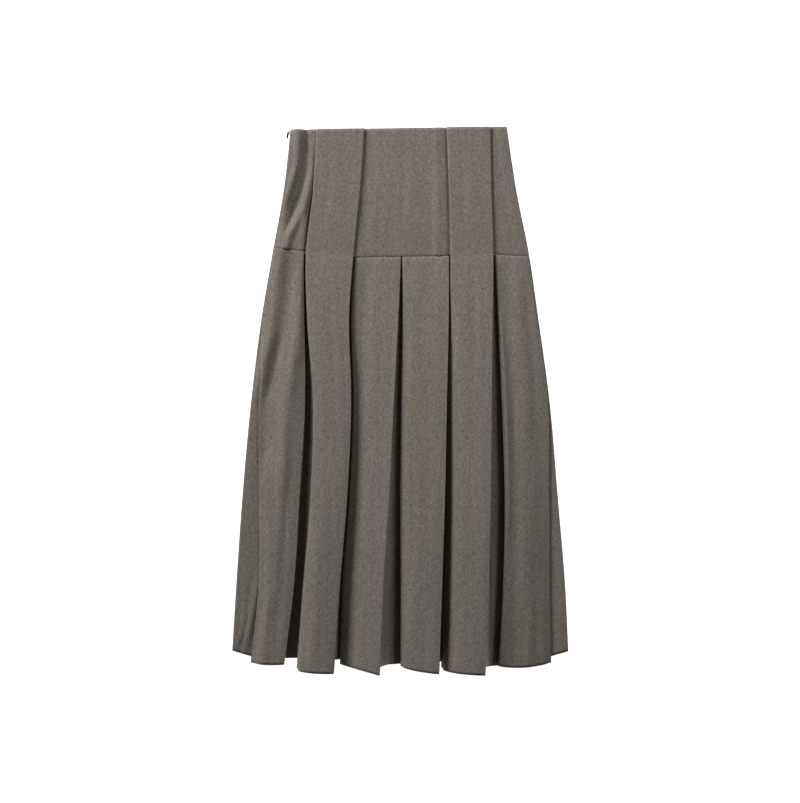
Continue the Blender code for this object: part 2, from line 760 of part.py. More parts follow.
def zip_pull_tab(material, parts):
    """The flat pull tab, hung on the slider's bridge by the bar above its hole."""
    outline = bpy.data.curves.new("zip_pull_tab", "CURVE")
    outline.dimensions = "2D"
    outline.fill_mode = "BOTH"
    outline.extrude = PULL_THICKNESS / 2 * MM
    bar = PULL_THICKNESS
    rounded_outline(outline.splines.new("POLY"), PULL_WIDTH, bar / 2, bar / 2 - PULL_LENGTH, 1.9)
    hole_width = PULL_WIDTH - 2 * 0.95
    rounded_outline(outline.splines.new("POLY"), hole_width, -bar / 2, -bar / 2 - PULL_HOLE, 0.5)
    tab = bpy.data.objects.new("zip_pull_tab", outline)
    parts.objects.link(tab)
    outline.materials.append(material)
    pivot = bpy.data.objects.new("pull_tab_pivot", None)
    parts.objects.link(pivot)
    pivot.location = Vector(pull_pivot_place()) * MM
    pivot.rotation_euler = (0, 0, -math.radians(PULL_LEAN))
    tab.parent = pivot
    tab.rotation_euler = (0, -math.pi / 2, 0)
    return tab


def surface_material(name, colour, roughness, metallic=0.0):
    made = bpy.data.materials.new(name)
    made.use_nodes = True
    shader = made.node_tree.nodes["Principled BSDF"]
    shader.inputs["Base Color"].default_value = (*colour, 1)
    shader.inputs["Roughness"].default_value = roughness
    shader.inputs["Metallic"].default_value = metallic
    return made


def main():
    for thing in list(bpy.data.objects):
        bpy.data.objects.remove(thing)
    parts = bpy.data.collections.new(COLLECTION)
    helpers = bpy.data.collections.new("cutters")
    for collection in (parts, helpers):
        bpy.context.scene.collection.children.link(collection)

    cloth = surface_material("taupe suiting", (0.168, 0.147, 0.127), 0.85)
    tape = surface_material("black zip tape", (0.012, 0.012, 0.012), 0.7)
    metal = surface_material("black zip metal", (0.01, 0.01, 0.01), 0.35, 0.6)

    front_centre_yoke(cloth)
    front_side_yoke("left", "long_left_left", YOKE_FOLDS, cloth)
    front_side_yoke("right", "long_right_right", (), cloth)
    long_pleat("left", "side_left", "long_left", cloth)
    long_pleat("right", "long_right", "side_right", cloth)
    front_centre_panels(cloth)
    front_side_panel("left", PANEL_FOLDS, cloth)
    front_side_panel("right", (), cloth)

    back_centre_yoke(cloth)
    back_centre_panel(cloth)
    for side, mirror in (("left", 1), ("right", -1)):
        back_side_yoke(side, mirror, cloth)
        back_long_pleat(f"back_long_pleat_{side}", mirror, cloth)
        back_side_panel(side, mirror, cloth)

    side_zip_strip(tape)
    zip_slider(metal, parts, helpers)
    zip_pull_tab(metal, parts)


main()
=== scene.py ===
"""Pleated maxi skirt, laid out on its back with the front up, dressed around its solids.

Cloth is lofted through lines that run down it, as in the solids, with rounded folds, a finer
net and creases placed one by one. X runs across to the viewer's right, Y up to the waist, Z up.
Lengths in the tables are millimetres.
"""

import math
from collections import namedtuple

import bmesh
import bpy
import numpy as np
from mathutils import Matrix, Vector


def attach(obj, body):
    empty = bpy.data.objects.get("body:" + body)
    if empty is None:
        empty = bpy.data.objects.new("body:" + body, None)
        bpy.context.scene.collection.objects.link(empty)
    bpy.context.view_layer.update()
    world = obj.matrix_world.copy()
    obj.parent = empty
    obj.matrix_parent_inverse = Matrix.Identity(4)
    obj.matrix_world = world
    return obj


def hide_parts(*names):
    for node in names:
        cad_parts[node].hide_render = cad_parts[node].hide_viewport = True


bl_info = {
    "name": "Pleated maxi skirt",
    "version": (1, 0, 0),
    "blender": (4, 5, 0),
    "location": "3D View > Sidebar > Skirt",
    "description": "Dresses the pleated maxi skirt: cloth, creases, side zip and studio",
    "category": "Object",
}

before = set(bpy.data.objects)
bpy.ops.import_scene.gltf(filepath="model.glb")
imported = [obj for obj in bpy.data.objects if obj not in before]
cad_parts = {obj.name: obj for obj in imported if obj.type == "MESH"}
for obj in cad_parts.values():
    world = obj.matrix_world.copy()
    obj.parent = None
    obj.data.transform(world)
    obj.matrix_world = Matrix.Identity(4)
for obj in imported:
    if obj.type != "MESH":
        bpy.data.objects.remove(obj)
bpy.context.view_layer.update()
SKIRT_BODY, PULL_BODY = "skirt", "pull_tab"

MM = 0.001

# Driving sizes, as in the solids
WAIST_Y = 442.5
WAIST_TILT = 0.0139
YOKE_DEPTH = 205.0
HEM_DEPTH = 880.0
LAYER_PITCH = 1.4
LOOSE_PITCH = 1.6
LONG_PITCH = 2.6
BACK_FACE = 0.5
BACK_RETURN = BACK_FACE + LAYER_PITCH
BACK_UNDERLAY = BACK_RETURN + LAYER_PITCH
FRONT_UNDERLAY = BACK_UNDERLAY + LOOSE_PITCH
FRONT_RETURN = FRONT_UNDERLAY + LAYER_PITCH
FRONT_FACE = FRONT_RETURN + LAYER_PITCH
LONG_RETURN = FRONT_FACE + LOOSE_PITCH
LONG_FACE = LONG_RETURN + LONG_PITCH
YOKE_SINK = FRONT_FACE - FRONT_UNDERLAY
ZIP_SIDE_RISE = 1.8
PLEAT_DEPTH = 20.0
SIDE_PLEAT_DEPTH, SIDE_PLEAT_SHORT = 22.0, 3
OPENING_POWER = 0.75
HEM_TUCK = 9.0
INNER_FOLD_SHARE = 0.35
LONG_SETTLE = 0.15
YOKE_TUCK = 20.0
SEAM_GAP = 0.3
BACK_HEM = 855.0
BACK_HEM_RISE = 12.0
STATIONS = (0, 100, 205, 300, 440, 600, 740, 880)

# A fold edge of the front: its place across at each station, its height at the yoke and at
# the hem, and how far below the waist it ends.
Edge = namedtuple("Edge", "across at_yoke at_hem ends")
FRONT_EDGES = {
    "side_left": Edge((-176.7, -188.1, -206.7, -222.9, -240.7, -255.3, -265.0, -273.6), 4.8, 4.8, 846),
    "crease_left": Edge((-174.0, -185.0, -204.0, -220.0, -227.8, -227.8, -228.6, -243.0), FRONT_FACE, 8, 864),
    "side_panel_left": Edge(
        (-155.7, -155.7, -155.7, -154.9, -153.3, -162.2, -171.1, -188.5), FRONT_FACE, 22, 866
    ),
    "long_left_left": Edge(
        (-134.6, -140.3, -151.6, -150.0, -140.3, -144.3, -155.7, -166.4), LONG_FACE, 28, 871
    ),
    "long_left_right": Edge((-57.7, -65.0, -75.5, -82.0, -78.7, -85.2, -96.6, -106.2), LONG_FACE, 41, 878),
    "centre_left_left": Edge((-73.3, -73.3, -73.3, -79.5, -76.5, -82.6, -92.6, -97.0), FRONT_FACE, 17, 866),
    "centre_left_right": Edge((1.2, 1.2, 1.2, -2.6, -9.9, -18.0, -26.9, -32.5), FRONT_FACE, 46, 880),
    "centre_right_left": Edge((3.4, 3.4, 3.4, 3.9, 2.3, 0.6, 1.5, 1.1), FRONT_FACE, 24, 868),
    "centre_right_right": Edge((79.0, 79.0, 79.0, 78.6, 75.4, 71.9, 67.2, 62.3), FRONT_FACE, 44, 878),
    "long_right_left": Edge((75.2, 79.2, 81.6, 81.0, 77.6, 75.4, 72.0, 66.0), LONG_FACE, 17, 871),
    "long_right_right": Edge((145.6, 147.3, 150.4, 148.9, 147.3, 145.2, 141.6, 136.0), LONG_FACE, 46, 880),
    "side_panel_right": Edge((153.2, 153.2, 153.2, 157.8, 164.0, 168.8, 166.0, 157.6), FRONT_FACE, 26, 868),
    "crease_right": Edge((169.8, 185.0, 205.8, 219.6, 238.2, 241.0, 241.6, 244.5), FRONT_FACE, 8, 864),
    "side_right": Edge((172.8, 188.0, 208.8, 222.6, 241.7, 255.5, 267.1, 273.6), 4.8, 4.8, 847),
}

# A face between two fold edges: how soon it rises from its left edge, how much its middle
# crowns at the hem, the shares of its width at which lines run down it, how soon its hem drops
# from its left corner, and how much the middle of its hem sags.
Face = namedtuple("Face", "rise crown shares hem_drop hem_sag")
FRONT_FACES = {
    "side_panel_left": Face(1.0, 7.0, (0.09, 0.18, 0.36, 0.58, 0.8), 0.8, 1.5),
    "long_left": Face(0.45, 6.5, (0.05, 0.12, 0.28, 0.5, 0.75, 0.9), 0.25, 0.5),
    "centre_left": Face(1.3, 4.5, (0.15, 0.4, 0.65, 0.85), 1.0, 0.0),
    "centre_right": Face(0.6, 5.0, (0.07, 0.2, 0.45, 0.7, 0.88), 0.7, 0.5),
    "long_right": Face(0.45, 4.0, (0.05, 0.14, 0.3, 0.5, 0.75, 0.9), 0.35, 0.5),
    "side_panel_right": Face(1.0, 4.0, (0.12, 0.3, 0.55, 0.8, 0.92), 1.0, 5.0),
}

# An inverted pleat of the front: the fold edges on its two sides, where its inner fold ends up
# beside the left edge at the hem, and where the underlay ends.
Pleat = namedtuple("Pleat", "left right lean ends")
FRONT_PLEATS = {
    "side_left": Pleat("side_panel_left", "long_left_left", -4.0, 857),
    "long_left": Pleat("long_left_right", "centre_left_left", -7.0, 859),
    "centre": Pleat("centre_left_right", "centre_right_left", 13.0, 866),
    "long_right": Pleat("centre_right_right", "long_right_left", -6.0, 862),
    "side_right": Pleat("long_right_right", "side_panel_right", 7.0, 869),
}

# Fold edges of the back: place across at the waist, the yoke and the hem, mirrored on the right.
BACK_EDGES = {
    "side_panel": (-136.0, -153.2, -192.0),
    "long_outer": (-134.0, -151.2, -178.0),
    "long_inner": (-60.0, -77.0, -97.0),
    "centre_outer": (-58.0, -75.0, -82.0),
    "centre_inner": (-1.0, -1.0, -8.0),
}

# The yoke seam's distance below the waist at the ends of each yoke piece
YOKE_SEAMS = {"left": (194.0, 200.0), "centre": (210.0, 207.0), "right": (205.0, 208.0)}

# Soft folds beside the zip: where across the panel each starts, how far it drifts to its end,
# its height, its half width as a share of the panel, and where it starts and ends
SoftFold = namedtuple("SoftFold", "share drift height spread start end")
YOKE_FOLDS = (SoftFold(0.52, -0.28, -2.4, 0.2, 5, 200),)
PANEL_FOLDS = (
    SoftFold(0.78, -0.2, 5.0, 0.2, 205, 640),
    SoftFold(0.45, -0.15, -3.0, 0.14, 205, 560),
)

# Creases: the height of each (below zero for a trough), its half width, and the
# points that it runs through, across and below the waist.
CREASES = {
    "front_side_yoke_left": (
        (5.0, 6.5, (-163, -30), (-165, 25), (-167, 60), (-174, 85), (-183, 112), (-192, 140)),
        (-5.0, 5.0, (-152, -30), (-151, 25), (-152, 72), (-161, 106), (-174, 140), (-186, 175)),
        (5.0, 6.5, (-141, 70), (-149, 105), (-157, 130), (-167, 150), (-180, 176), (-190, 230)),
        (3.5, 6.5, (-146, 60), (-149, 110), (-153, 140), (-158, 190)),
        (4.8, 10, (-187, 145), (-192, 180), (-194, 205), (-197, 250)),
        (-1.2, 3, (-172, 36), (-177, 84)),
        (-3.0, 4, (-136, 40), (-141, 110), (-147, 160), (-152, 205), (-155, 300)),
    ),
    "front_side_yoke_right": (
        (0.9, 7, (163, -30), (168, 110), (178, 215)),
        (0.7, 8, (186, 90), (194, 250)),
        (1.0, 4, (152, 0), (154, 120), (156, 240)),
    ),
    "front_centre_yoke": (
        (1.6, 8, (58, -60), (60, 60), (61, 140), (62, 260)),
        (-2.2, 4, (77, -60), (80, 100), (82, 260)),
        (-0.5, 8, (66, 30), (59, 70), (54, 110), (55, 180)),
        (-0.9, 7, (-50, 20), (-56, 190)),
        (0.4, 16, (5, 60), (8, 230)),
    ),
    "front_side_panel_left": (
        (4.8, 10, (-192, 160), (-194, 205), (-198, 240), (-200, 280), (-208, 335), (-219, 375),
         (-231, 440)),
        (-3.6, 8, (-177, 215), (-178, 240), (-181, 290), (-188, 335), (-200, 375), (-215, 440),
         (-220, 560)),
        (3.4, 10, (-156, 215), (-158, 290), (-163, 340), (-172, 380), (-184, 442), (-190, 600),
         (-200, 780)),
        (1.4, 8, (-214, 440), (-216, 560), (-220, 700)),
        (-2.6, 8, (-180, 560), (-190, 700), (-205, 900)),
        (2.4, 7, (-209, 620), (-213, 760), (-224, 890)),
        (5.0, 4, (-231, 725), (-239, 785), (-253, 855)),
        (-2.6, 4, (-240, 740), (-248, 795), (-260, 850)),
        (3.6, 3.5, (-247, 770), (-254, 810), (-265, 846)),
    ),
    "front_long_pleat_left": (
        (-0.9, 14, (-106, 260), (-106, 520), (-120, 880)),
        (1.0, 10, (-128, 380), (-130, 640), (-146, 880)),
    ),
    "front_centre_panel_left": (
        (-0.9, 10, (-56, 215), (-60, 440), (-70, 700), (-78, 900)),
        (-1.6, 8, (-55, 225), (-57, 320), (-60, 440)),
        (-0.8, 10, (-20, 230), (-28, 460), (-42, 760)),
    ),
    "front_centre_panel_right": (
        (0.7, 11, (24, 240), (22, 430), (20, 690), (20, 900)),
        (-0.9, 12, (44, 215), (42, 460), (40, 700), (38, 900)),
    ),
    "front_long_pleat_right": (
        (-2.4, 7, (82, 330), (80, 440), (78, 600), (74, 740), (68, 860)),
        (0.8, 11, (100, 215), (99, 500), (94, 900)),
        (-0.9, 12, (120, 200), (118, 460), (112, 760)),
    ),
    "front_side_panel_right": (
        (3.8, 6.5, (157, 290), (166, 400), (171, 470), (172, 560), (171, 660)),
        (-2.0, 10, (172, 215), (184, 430), (188, 640), (182, 890)),
        (1.4, 11, (186, 215), (202, 430), (208, 650), (206, 890)),
        (-1.4, 9, (204, 240), (222, 480), (228, 760)),
        (1.2, 7, (218, 540), (228, 700), (234, 890)),
    ),
}

# How far apart a net's columns and rows are
YOKE_NET, PANEL_NET, BACK_NET = (3.0, 5.0), (2.5, 5.0), (6.0, 10.0)

# How a line turns: a pressed fold within a fraction of a millimetre, a face as softly as it can
FOLD_BEND, FACE_BEND, BACK_BEND = 0.7, 60.0, 3.0
FOLD_TURNS = 4
# A corner's rounding takes at most this share of the shorter leg beside it. Places along a path
# count in lines, and a rounded corner takes up this much of a line's step on each side.
MOST_BEND, CORNER = 0.46, 0.1
# How far in from a side edge its roll has a shoulder, as a share of the roll
SHOULDER = 0.3
# The shares of its width at which lines run down a yoke piece; the side yokes start after a roll
CENTRE_YOKE_SHARES = (0.0, 0.12, 0.3, 0.5, 0.7, 0.88, 1.0)
SIDE_YOKE_SHARES = (0.22, 0.4, 0.6, 0.8, 1.0)
# How much higher than a fold's corner its return ends at the hem
HEM_CORNER = 14.0
# A left fold edge is rounded down, over this width and by this much
EDGE_ROUND, EDGE_DROP = 2.0, 1.5
# The underlay starts this far beside its inner fold at the hem, or here where it has settled
UNDERLAY_STEP, SETTLED_STEP = 3.0, -0.5
# The back's returns stop short of the inner fold, and its yokes step down under the long pleats
BACK_SHORT = 2.0
YOKE_STEP = (12, 2)
# A seam's cloth rolls under by this much, within this reach, on rows this far from the seam
SEAM_ROLL, SEAM_ROLL_REACH = 0.7, 1.6
SEAM_ROWS = (0.8, 1.7, 2.8)
# The cloth's slight waves: how many, how wide and long, their height and how much of it the
# yoke has, and their height on the back
RIPPLE_WAVES = 7
RIPPLE_WIDTHS, RIPPLE_LENGTHS = (14, 46), (160, 520)
RIPPLE, RIPPLE_AT_YOKE, BACK_RIPPLE = 0.3, 0.35, 0.25
# How a crease fades at its ends, starts before its first point, and widens where it slants
CREASE_FADE, CREASE_EARLY, CREASE_SLANT = 60.0, 0.3, 0.1
CREASE_SAMPLES = 32
# Creases and ripples fade out over this share of the cloth beside a face's edge, and the
# strip beside the zip takes them between these of its lines
FACE_FADE = 0.6
SIDE_STRIP = (2, 3.65)
# Cloth turned in along the waist and the hem: how wide, how soon it ends, how far from folds
DOUBLED_BAND, DOUBLED_FADE, DOUBLED_AWAY_FROM_FOLD = 26.0, 1.5, 4.0

SUITING, ZIP_TAPE, ZIP_METAL = "taupe heathered suiting", "black zip tape", "black zip metal"

Line = namedtuple("Line", "across height start end bend", defaults=(FOLD_BEND,))


def ease(value):
    """0 to 1 with a soft start and end."""
    value = np.clip(value, 0, 1)
    return value * value * (3 - 2 * value)


def run(values, stations=STATIONS):
    """A smooth run through one value for each station, by the distance below the waist."""
    knots, heights = np.array(stations, float), np.array(values, float)
    slopes = np.gradient(heights, knots)

    def at(below):
        below = np.clip(below, knots[0], knots[-1])
        i = np.minimum(np.searchsorted(knots, below, side="right") - 1, len(knots) - 2)
        span = knots[i + 1] - knots[i]
        u = (below - knots[i]) / span
        start = (1 + 2 * u) * (1 - u) ** 2 * heights[i] + u * (1 - u) ** 2 * span * slopes[i]
        return start + u * u * (3 - 2 * u) * heights[i + 1] + u * u * (u - 1) * span * slopes[i + 1]

    return at


def opening(below):
    """How far the pleats have opened: 0 down to the yoke seam, 1 at the hem."""
    return np.clip((below - YOKE_DEPTH) / (HEM_DEPTH - YOKE_DEPTH), 0, 1) ** OPENING_POWER


def yoke_drop(below):
    """How much lower the front lies than at the yoke seam, because there are no pleats under it."""
    return YOKE_SINK * (1 - ease(below / YOKE_DEPTH))


def edge_height(edge):
    def at(below):
        return edge.at_yoke - yoke_drop(below) + (edge.at_hem - edge.at_yoke) * opening(below)

    return at


def seam_ends(first, second):
    """The places across of a yoke seam's two ends, from left to right."""
    return sorted((float(first(YOKE_DEPTH)), float(second(YOKE_DEPTH))))


def seam_at(side, across, left, right):
    """The yoke seam's distance below the waist at a place across."""
    outer, inner = YOKE_SEAMS[side]
    return outer + (inner - outer) * float(np.clip((across - left) / (right - left), 0, 1))


def level(height):
    """A height that stays the same down the cloth."""
    return lambda below: height + 0 * below


def moved(across, step):
    """A run moved by a fixed amount."""
    return lambda below: across(below) + step


def blend(first, second, share):
    """A run across or a height that lies a share of the way from one to another."""
    return lambda below: first(below) * (1 - share) + second(below) * share


def shifted(line, across=0.0, height=0.0):
    """A line moved sideways and up by a fixed amount."""
    return line._replace(across=moved(line.across, across), height=moved(line.height, height))


def between(first, second, share):
    """A line that lies a share of the way from one line to another."""
    return Line(
        blend(first.across, second.across, share),
        blend(first.height, second.height, share),
        first.start * (1 - share) + second.start * share,
        first.end * (1 - share) + second.end * share,
        FACE_BEND,
    )


def soft_folds(folds, share, below):
    """How far soft folds lift the cloth at a share of the panel's width."""
    lift = 0.0
    for fold in folds:
        along = np.clip((below - fold.start) / (fold.end - fold.start), 0, 1)
        middle = fold.share + fold.drift * along
        height = fold.height * np.exp(-(((share - middle) / fold.spread) ** 2))
        lift = lift + height * np.sin(np.pi * along)
    return lift


def lit_edge(edge):
    """The left fold edge of a face, rounded down, and the line beside it where the face begins."""
    inside = shifted(edge, across=EDGE_ROUND)._replace(bend=1.0)
    return [shifted(edge, height=-EDGE_DROP), inside]


def face_lines(left, right, face, folds=()):
    """The lines down a face, between its two fold edges."""
    lines = []
    for share in face.shares:
        flat = blend(left.height, right.height, share**face.rise)

        def height(below, share=share, flat=flat):
            crown = face.crown * 4 * share * (1 - share) * opening(below)
            lifted = flat(below) + crown + soft_folds(folds, share, below)
            return np.maximum(lifted, FRONT_FACE)

        start = left.start * (1 - share) + right.start * share
        drop = share**face.hem_drop
        end = left.end * (1 - drop) + right.end * drop + face.hem_sag * 4 * share * (1 - share)
        lines.append(Line(blend(left.across, right.across, share), height, start, end, FACE_BEND))
    return lines


def front_line(name, start):
    """A fold edge of the front as a line that starts at the waist or at the yoke seam."""
    edge = FRONT_EDGES[name]
    return Line(run(edge.across), edge_height(edge), start, edge.ends)


def below_yoke(name):
    return front_line(name, YOKE_DEPTH)


def underside(edge, lifted_hem=0.0):
    """The line a cloth's pitch below a fold edge, where its return starts."""
    return shifted(edge, height=-LAYER_PITCH)._replace(end=edge.end - lifted_hem)


def pleat_left_fold(edge, lean, floor, ends):
    """A fold edge on the left of a pleat and its return, down to the inner fold."""

    def inner_across(below):
        opened = opening(below)
        return edge.across(below) - PLEAT_DEPTH * (1 - opened) + lean * opened

    def inner_height(below):
        low = floor(below)
        return low + (edge.height(below) - LAYER_PITCH - low) * INNER_FOLD_SHARE * opening(below)

    inner = Line(inner_across, inner_height, edge.start, ends)
    under = underside(edge, HEM_CORNER)
    return [edge, under, between(under, inner, 0.55), inner]


def pleat_right_fold(edge, floor, ends):
    """A return from its inner fold up to the fold edge on the right of a pleat."""

    def inner_across(below):
        opened = opening(below)
        return edge.across(below) + PLEAT_DEPTH * (1 - opened) + HEM_TUCK * opened

    inner = Line(inner_across, floor, edge.start, ends)
    under = shifted(underside(edge), height=-EDGE_DROP / 2)
    return [inner, between(inner, under, 0.5), under, *lit_edge(edge)]


def underlay(inner_left, inner_right, ends, settles=False):
    """The cloth at the bottom of a pleat, from under one inner fold to under the other."""
    step = SETTLED_STEP if settles else UNDERLAY_STEP

    def first_across(below):
        return inner_left.across(below) + step * opening(below)

    def first_height(below):
        under = inner_left.height(below) - LAYER_PITCH - LOOSE_PITCH * opening(below)
        share = settled(below) if settles else 1.0
        return FRONT_UNDERLAY + (under - FRONT_UNDERLAY) * share

    first = Line(first_across, first_height, inner_left.start, ends)
    last = Line(inner_right.across, level(FRONT_UNDERLAY), inner_right.start, ends)
    return [first, between(first, last, 0.5), last]


def settled(below):
    """How far a long pleat's folds have settled, just below the yoke that they lie on."""
    return ease((below - YOKE_DEPTH) / (HEM_DEPTH - YOKE_DEPTH) / LONG_SETTLE)


# The height of a return where it lies on the underlay
resting = level(FRONT_RETURN)


def resting_long(below):
    """The same for the long pleats, which lie on the yoke as well."""
    raised = (LONG_RETURN - FRONT_RETURN) * (1 - settled(below))
    return FRONT_RETURN + raised - yoke_drop(below)


def side_level(side):
    """The front's height at a side seam. The zip holds it up on the left."""
    rise = ZIP_SIDE_RISE if side == "left" else 0.0
    return lambda below: FRONT_UNDERLAY + rise * (1 - ease(below / YOKE_DEPTH))


def side_roll(side, top_height, inward, front=True):
    """A roll round a side edge, from the flat of the front or the back to the side seam."""
    sign = 1 if front else -1
    flat = top_height if front else level(BACK_FACE)

    def radius(below):
        return (top_height(below) - BACK_FACE) / 2

    def line(step, height):
        def across(below):
            return side.across(below) + inward * step * radius(below)

        return Line(across, height, side.start, side.end)

    top = line(1.0, flat)
    shoulder = line(SHOULDER, lambda below: flat(below) - sign * SHOULDER * radius(below))
    seam = line(0.0, lambda below: BACK_FACE + radius(below) + sign * SEAM_GAP / 2)
    return [top, shoulder._replace(bend=FACE_BEND), seam]


def side_pleat(crease, side, top_height, inward):
    """The pleat beside a side seam: the crease's return, its inner fold and the strip beyond."""
    inner_across = moved(crease.across, inward * SIDE_PLEAT_DEPTH)
    inner_top = Line(inner_across, resting, crease.start, crease.end - SIDE_PLEAT_SHORT)
    inner_low = underside(inner_top)
    roll = side_roll(side, top_height, inward)
    middle = between(underside(crease), inner_top, 0.5)
    strip = between(inner_low, roll[0], 0.6)
    return [crease, underside(crease), middle, inner_top, inner_low, strip, *roll]


def line_points(lines, shares):
    """The points of each line at each share of its length: rows, lines, XYZ."""
    columns = []
    for line in lines:
        below = line.start + (line.end - line.start) * shares
        across, height = line.across(below), line.height(below)
        columns.append(np.stack([across, WAIST_Y - below, height + 0 * below], axis=1))
    return np.stack(columns, axis=1)


def rounded_path(keys, bends, spacing):
    """Columns along each row's path with its corners rounded, and each column's place in lines."""
    legs = np.diff(keys, axis=1)
    lengths = np.linalg.norm(legs, axis=2)
    ahead = legs / np.maximum(lengths, 1e-6)[..., None]
    count = keys.shape[1]
    columns, places = [keys[:, 0]], [0.0]
    leave = keys[:, 0]
    for k in range(1, count):
        if k < count - 1:
            shorter = np.minimum(lengths[:, k - 1], lengths[:, k])
            reach = np.minimum(bends[k], MOST_BEND * shorter)[:, None]
            arrive = keys[:, k] - ahead[:, k - 1] * reach
        else:
            reach, arrive = None, keys[:, k]
        steps = max(1, round(float(np.linalg.norm(arrive - leave, axis=1).mean()) / spacing))
        for i in range(1, steps + 1):
            columns.append(leave + (arrive - leave) * i / steps)
            places.append(k - 1 + (CORNER + (1 - 2 * CORNER) * i / steps))
        if reach is None:
            break
        exit_point = keys[:, k] + ahead[:, k] * reach
        turns = max(FOLD_TURNS, round(2 * float(reach.mean()) / spacing))
        for i in range(1, turns + 1):
            t = i / turns
            towards_fold = (1 - t) ** 2 * arrive + 2 * t * (1 - t) * keys[:, k]
            columns.append(towards_fold + t * t * exit_point)
            places.append(k - CORNER + 2 * CORNER * t)
        leave = exit_point
    places[-1] = count - 1
    return np.stack(columns, axis=1), np.array(places)


def crease_lift(points, height, spread, knots):
    """How far one crease lifts each point, by its distance from the crease's run."""
    across, below = points[..., 0], WAIST_Y - points[..., 1]
    knots = np.array(knots, float)
    middle = np.interp(below, knots[:, 1], knots[:, 0])
    top, bottom = knots[0, 1], knots[-1, 1]
    fade = min(CREASE_FADE, (bottom - top) / 2)
    early = fade * CREASE_EARLY
    along = ease((below - top + early) / fade) * ease((bottom - below + early) / fade)
    samples = np.linspace(top, bottom, CREASE_SAMPLES)
    slope = np.gradient(np.interp(samples, knots[:, 1], knots[:, 0])).max()
    spread = spread * (1 + CREASE_SLANT * abs(slope))
    return height * along * np.exp(-(((across - middle) / spread) ** 2))


def ripple_lift(points, name):
    """The cloth's slight unevenness: long shallow waves that run mostly down it, seeded by name."""
    rng = np.random.default_rng(len(name) * 7 + sum(map(ord, name)) % 97)
    across, below = points[..., 0], WAIST_Y - points[..., 1]
    lift = np.zeros(across.shape)
    for _ in range(RIPPLE_WAVES):
        wave, fall = rng.uniform(*RIPPLE_WIDTHS), rng.uniform(*RIPPLE_LENGTHS) * rng.choice((-1, 1))
        phase, weight = rng.uniform(0, 2 * np.pi), rng.uniform(0.4, 1.0)
        lift += weight * np.sin(2 * np.pi * (across / wave + below / fall) + phase)
    return lift / (RIPPLE_WAVES / 2)


def grid_normals(grid):
    """A unit normal for each point of a net."""
    down, across = np.gradient(grid, axis=0), np.gradient(grid, axis=1)
    normals = np.cross(across, -down)
    return normals / np.maximum(np.linalg.norm(normals, axis=2, keepdims=True), 1e-9)


def walked_along(net, axis):
    """How far each point of a net is from its edge, walked down it (axis 0) or across it (1)."""
    walked = np.cumsum(np.linalg.norm(np.diff(net, axis=axis), axis=2), axis=axis)
    return np.insert(walked, 0, 0.0, axis=axis)


def rolled_edges(grid, from_top, from_bottom):
    """The net with its cloth rolled under along a seam at the top or the bottom."""
    walked = walked_along(grid, 0)
    roll = np.zeros(grid.shape[:2])
    if from_top:
        roll += SEAM_ROLL * np.exp(-((walked / SEAM_ROLL_REACH) ** 2))
    if from_bottom:
        roll += SEAM_ROLL * np.exp(-(((walked[-1:] - walked) / SEAM_ROLL_REACH) ** 2))
    return grid - grid_normals(grid) * roll[..., None]


def edge_rows(length, spacing, top, bottom):
    """Shares for the rows of a net, closer together beside a seam."""
    count = max(4, round(length / spacing))
    shares = list(np.linspace(0, 1, count + 1))
    close = [step / length for step in SEAM_ROWS]
    if top:
        shares += close
    if bottom:
        shares += [1 - step for step in close]
    return np.array(sorted(shares))


def mesh_from_net(name, net, walked):
    """A mesh with one quad for each cell of a net, and a UV map along and down the cloth."""
    rows, columns = net.shape[:2]
    index = np.arange(rows * columns).reshape(rows, columns)
    corners = (index[1:, :-1], index[1:, 1:], index[:-1, 1:], index[:-1, :-1])
    quads = np.stack(corners, axis=-1).reshape(-1, 4)
    mesh = bpy.data.meshes.new(name)
    mesh.from_pydata((net.reshape(-1, 3) * MM).tolist(), [], quads.tolist())
    layer = mesh.uv_layers.new(name="cloth")
    places = np.stack([walked, WAIST_Y - net[..., 1]], axis=-1).reshape(-1, 2) * MM
    layer.data.foreach_set("uv", places[quads.reshape(-1)].astype(np.float32).reshape(-1))
    mesh.shade_smooth()
    return mesh


def add_object(name, data, material=None):
    """A new object in the scene, with its finish where it has one."""
    made = bpy.data.objects.new(name, data)
    bpy.context.scene.collection.objects.link(made)
    if material:
        data.materials.append(bpy.data.materials[material])
    return made


def creased(name, net, places, face_spans, front):
    """The net with its faces lifted by its creases and by the cloth's slight waves."""
    strength = bpy.context.scene.skirt_sizes.crease_strength
    on_face = np.zeros(len(places))
    for first, last in face_spans:
        inside = ease((places - first) / FACE_FADE) * ease((last - places) / FACE_FADE)
        on_face = np.maximum(on_face, inside)
    lift = np.zeros(net.shape[:2])
    for height, spread, *knots in CREASES.get(name, ()):
        lift += crease_lift(net, height, spread, knots) * strength
    waves = ripple_lift(net, name)
    if front:
        opened = opening(WAIST_Y - net[..., 1])
        lift += waves * RIPPLE * strength * (RIPPLE_AT_YOKE + (1 - RIPPLE_AT_YOKE) * opened)
    else:
        lift += (0.5 + 0.5 * np.clip(waves, -1, 1)) * BACK_RIPPLE
    net[..., 2] += lift * on_face
    return net


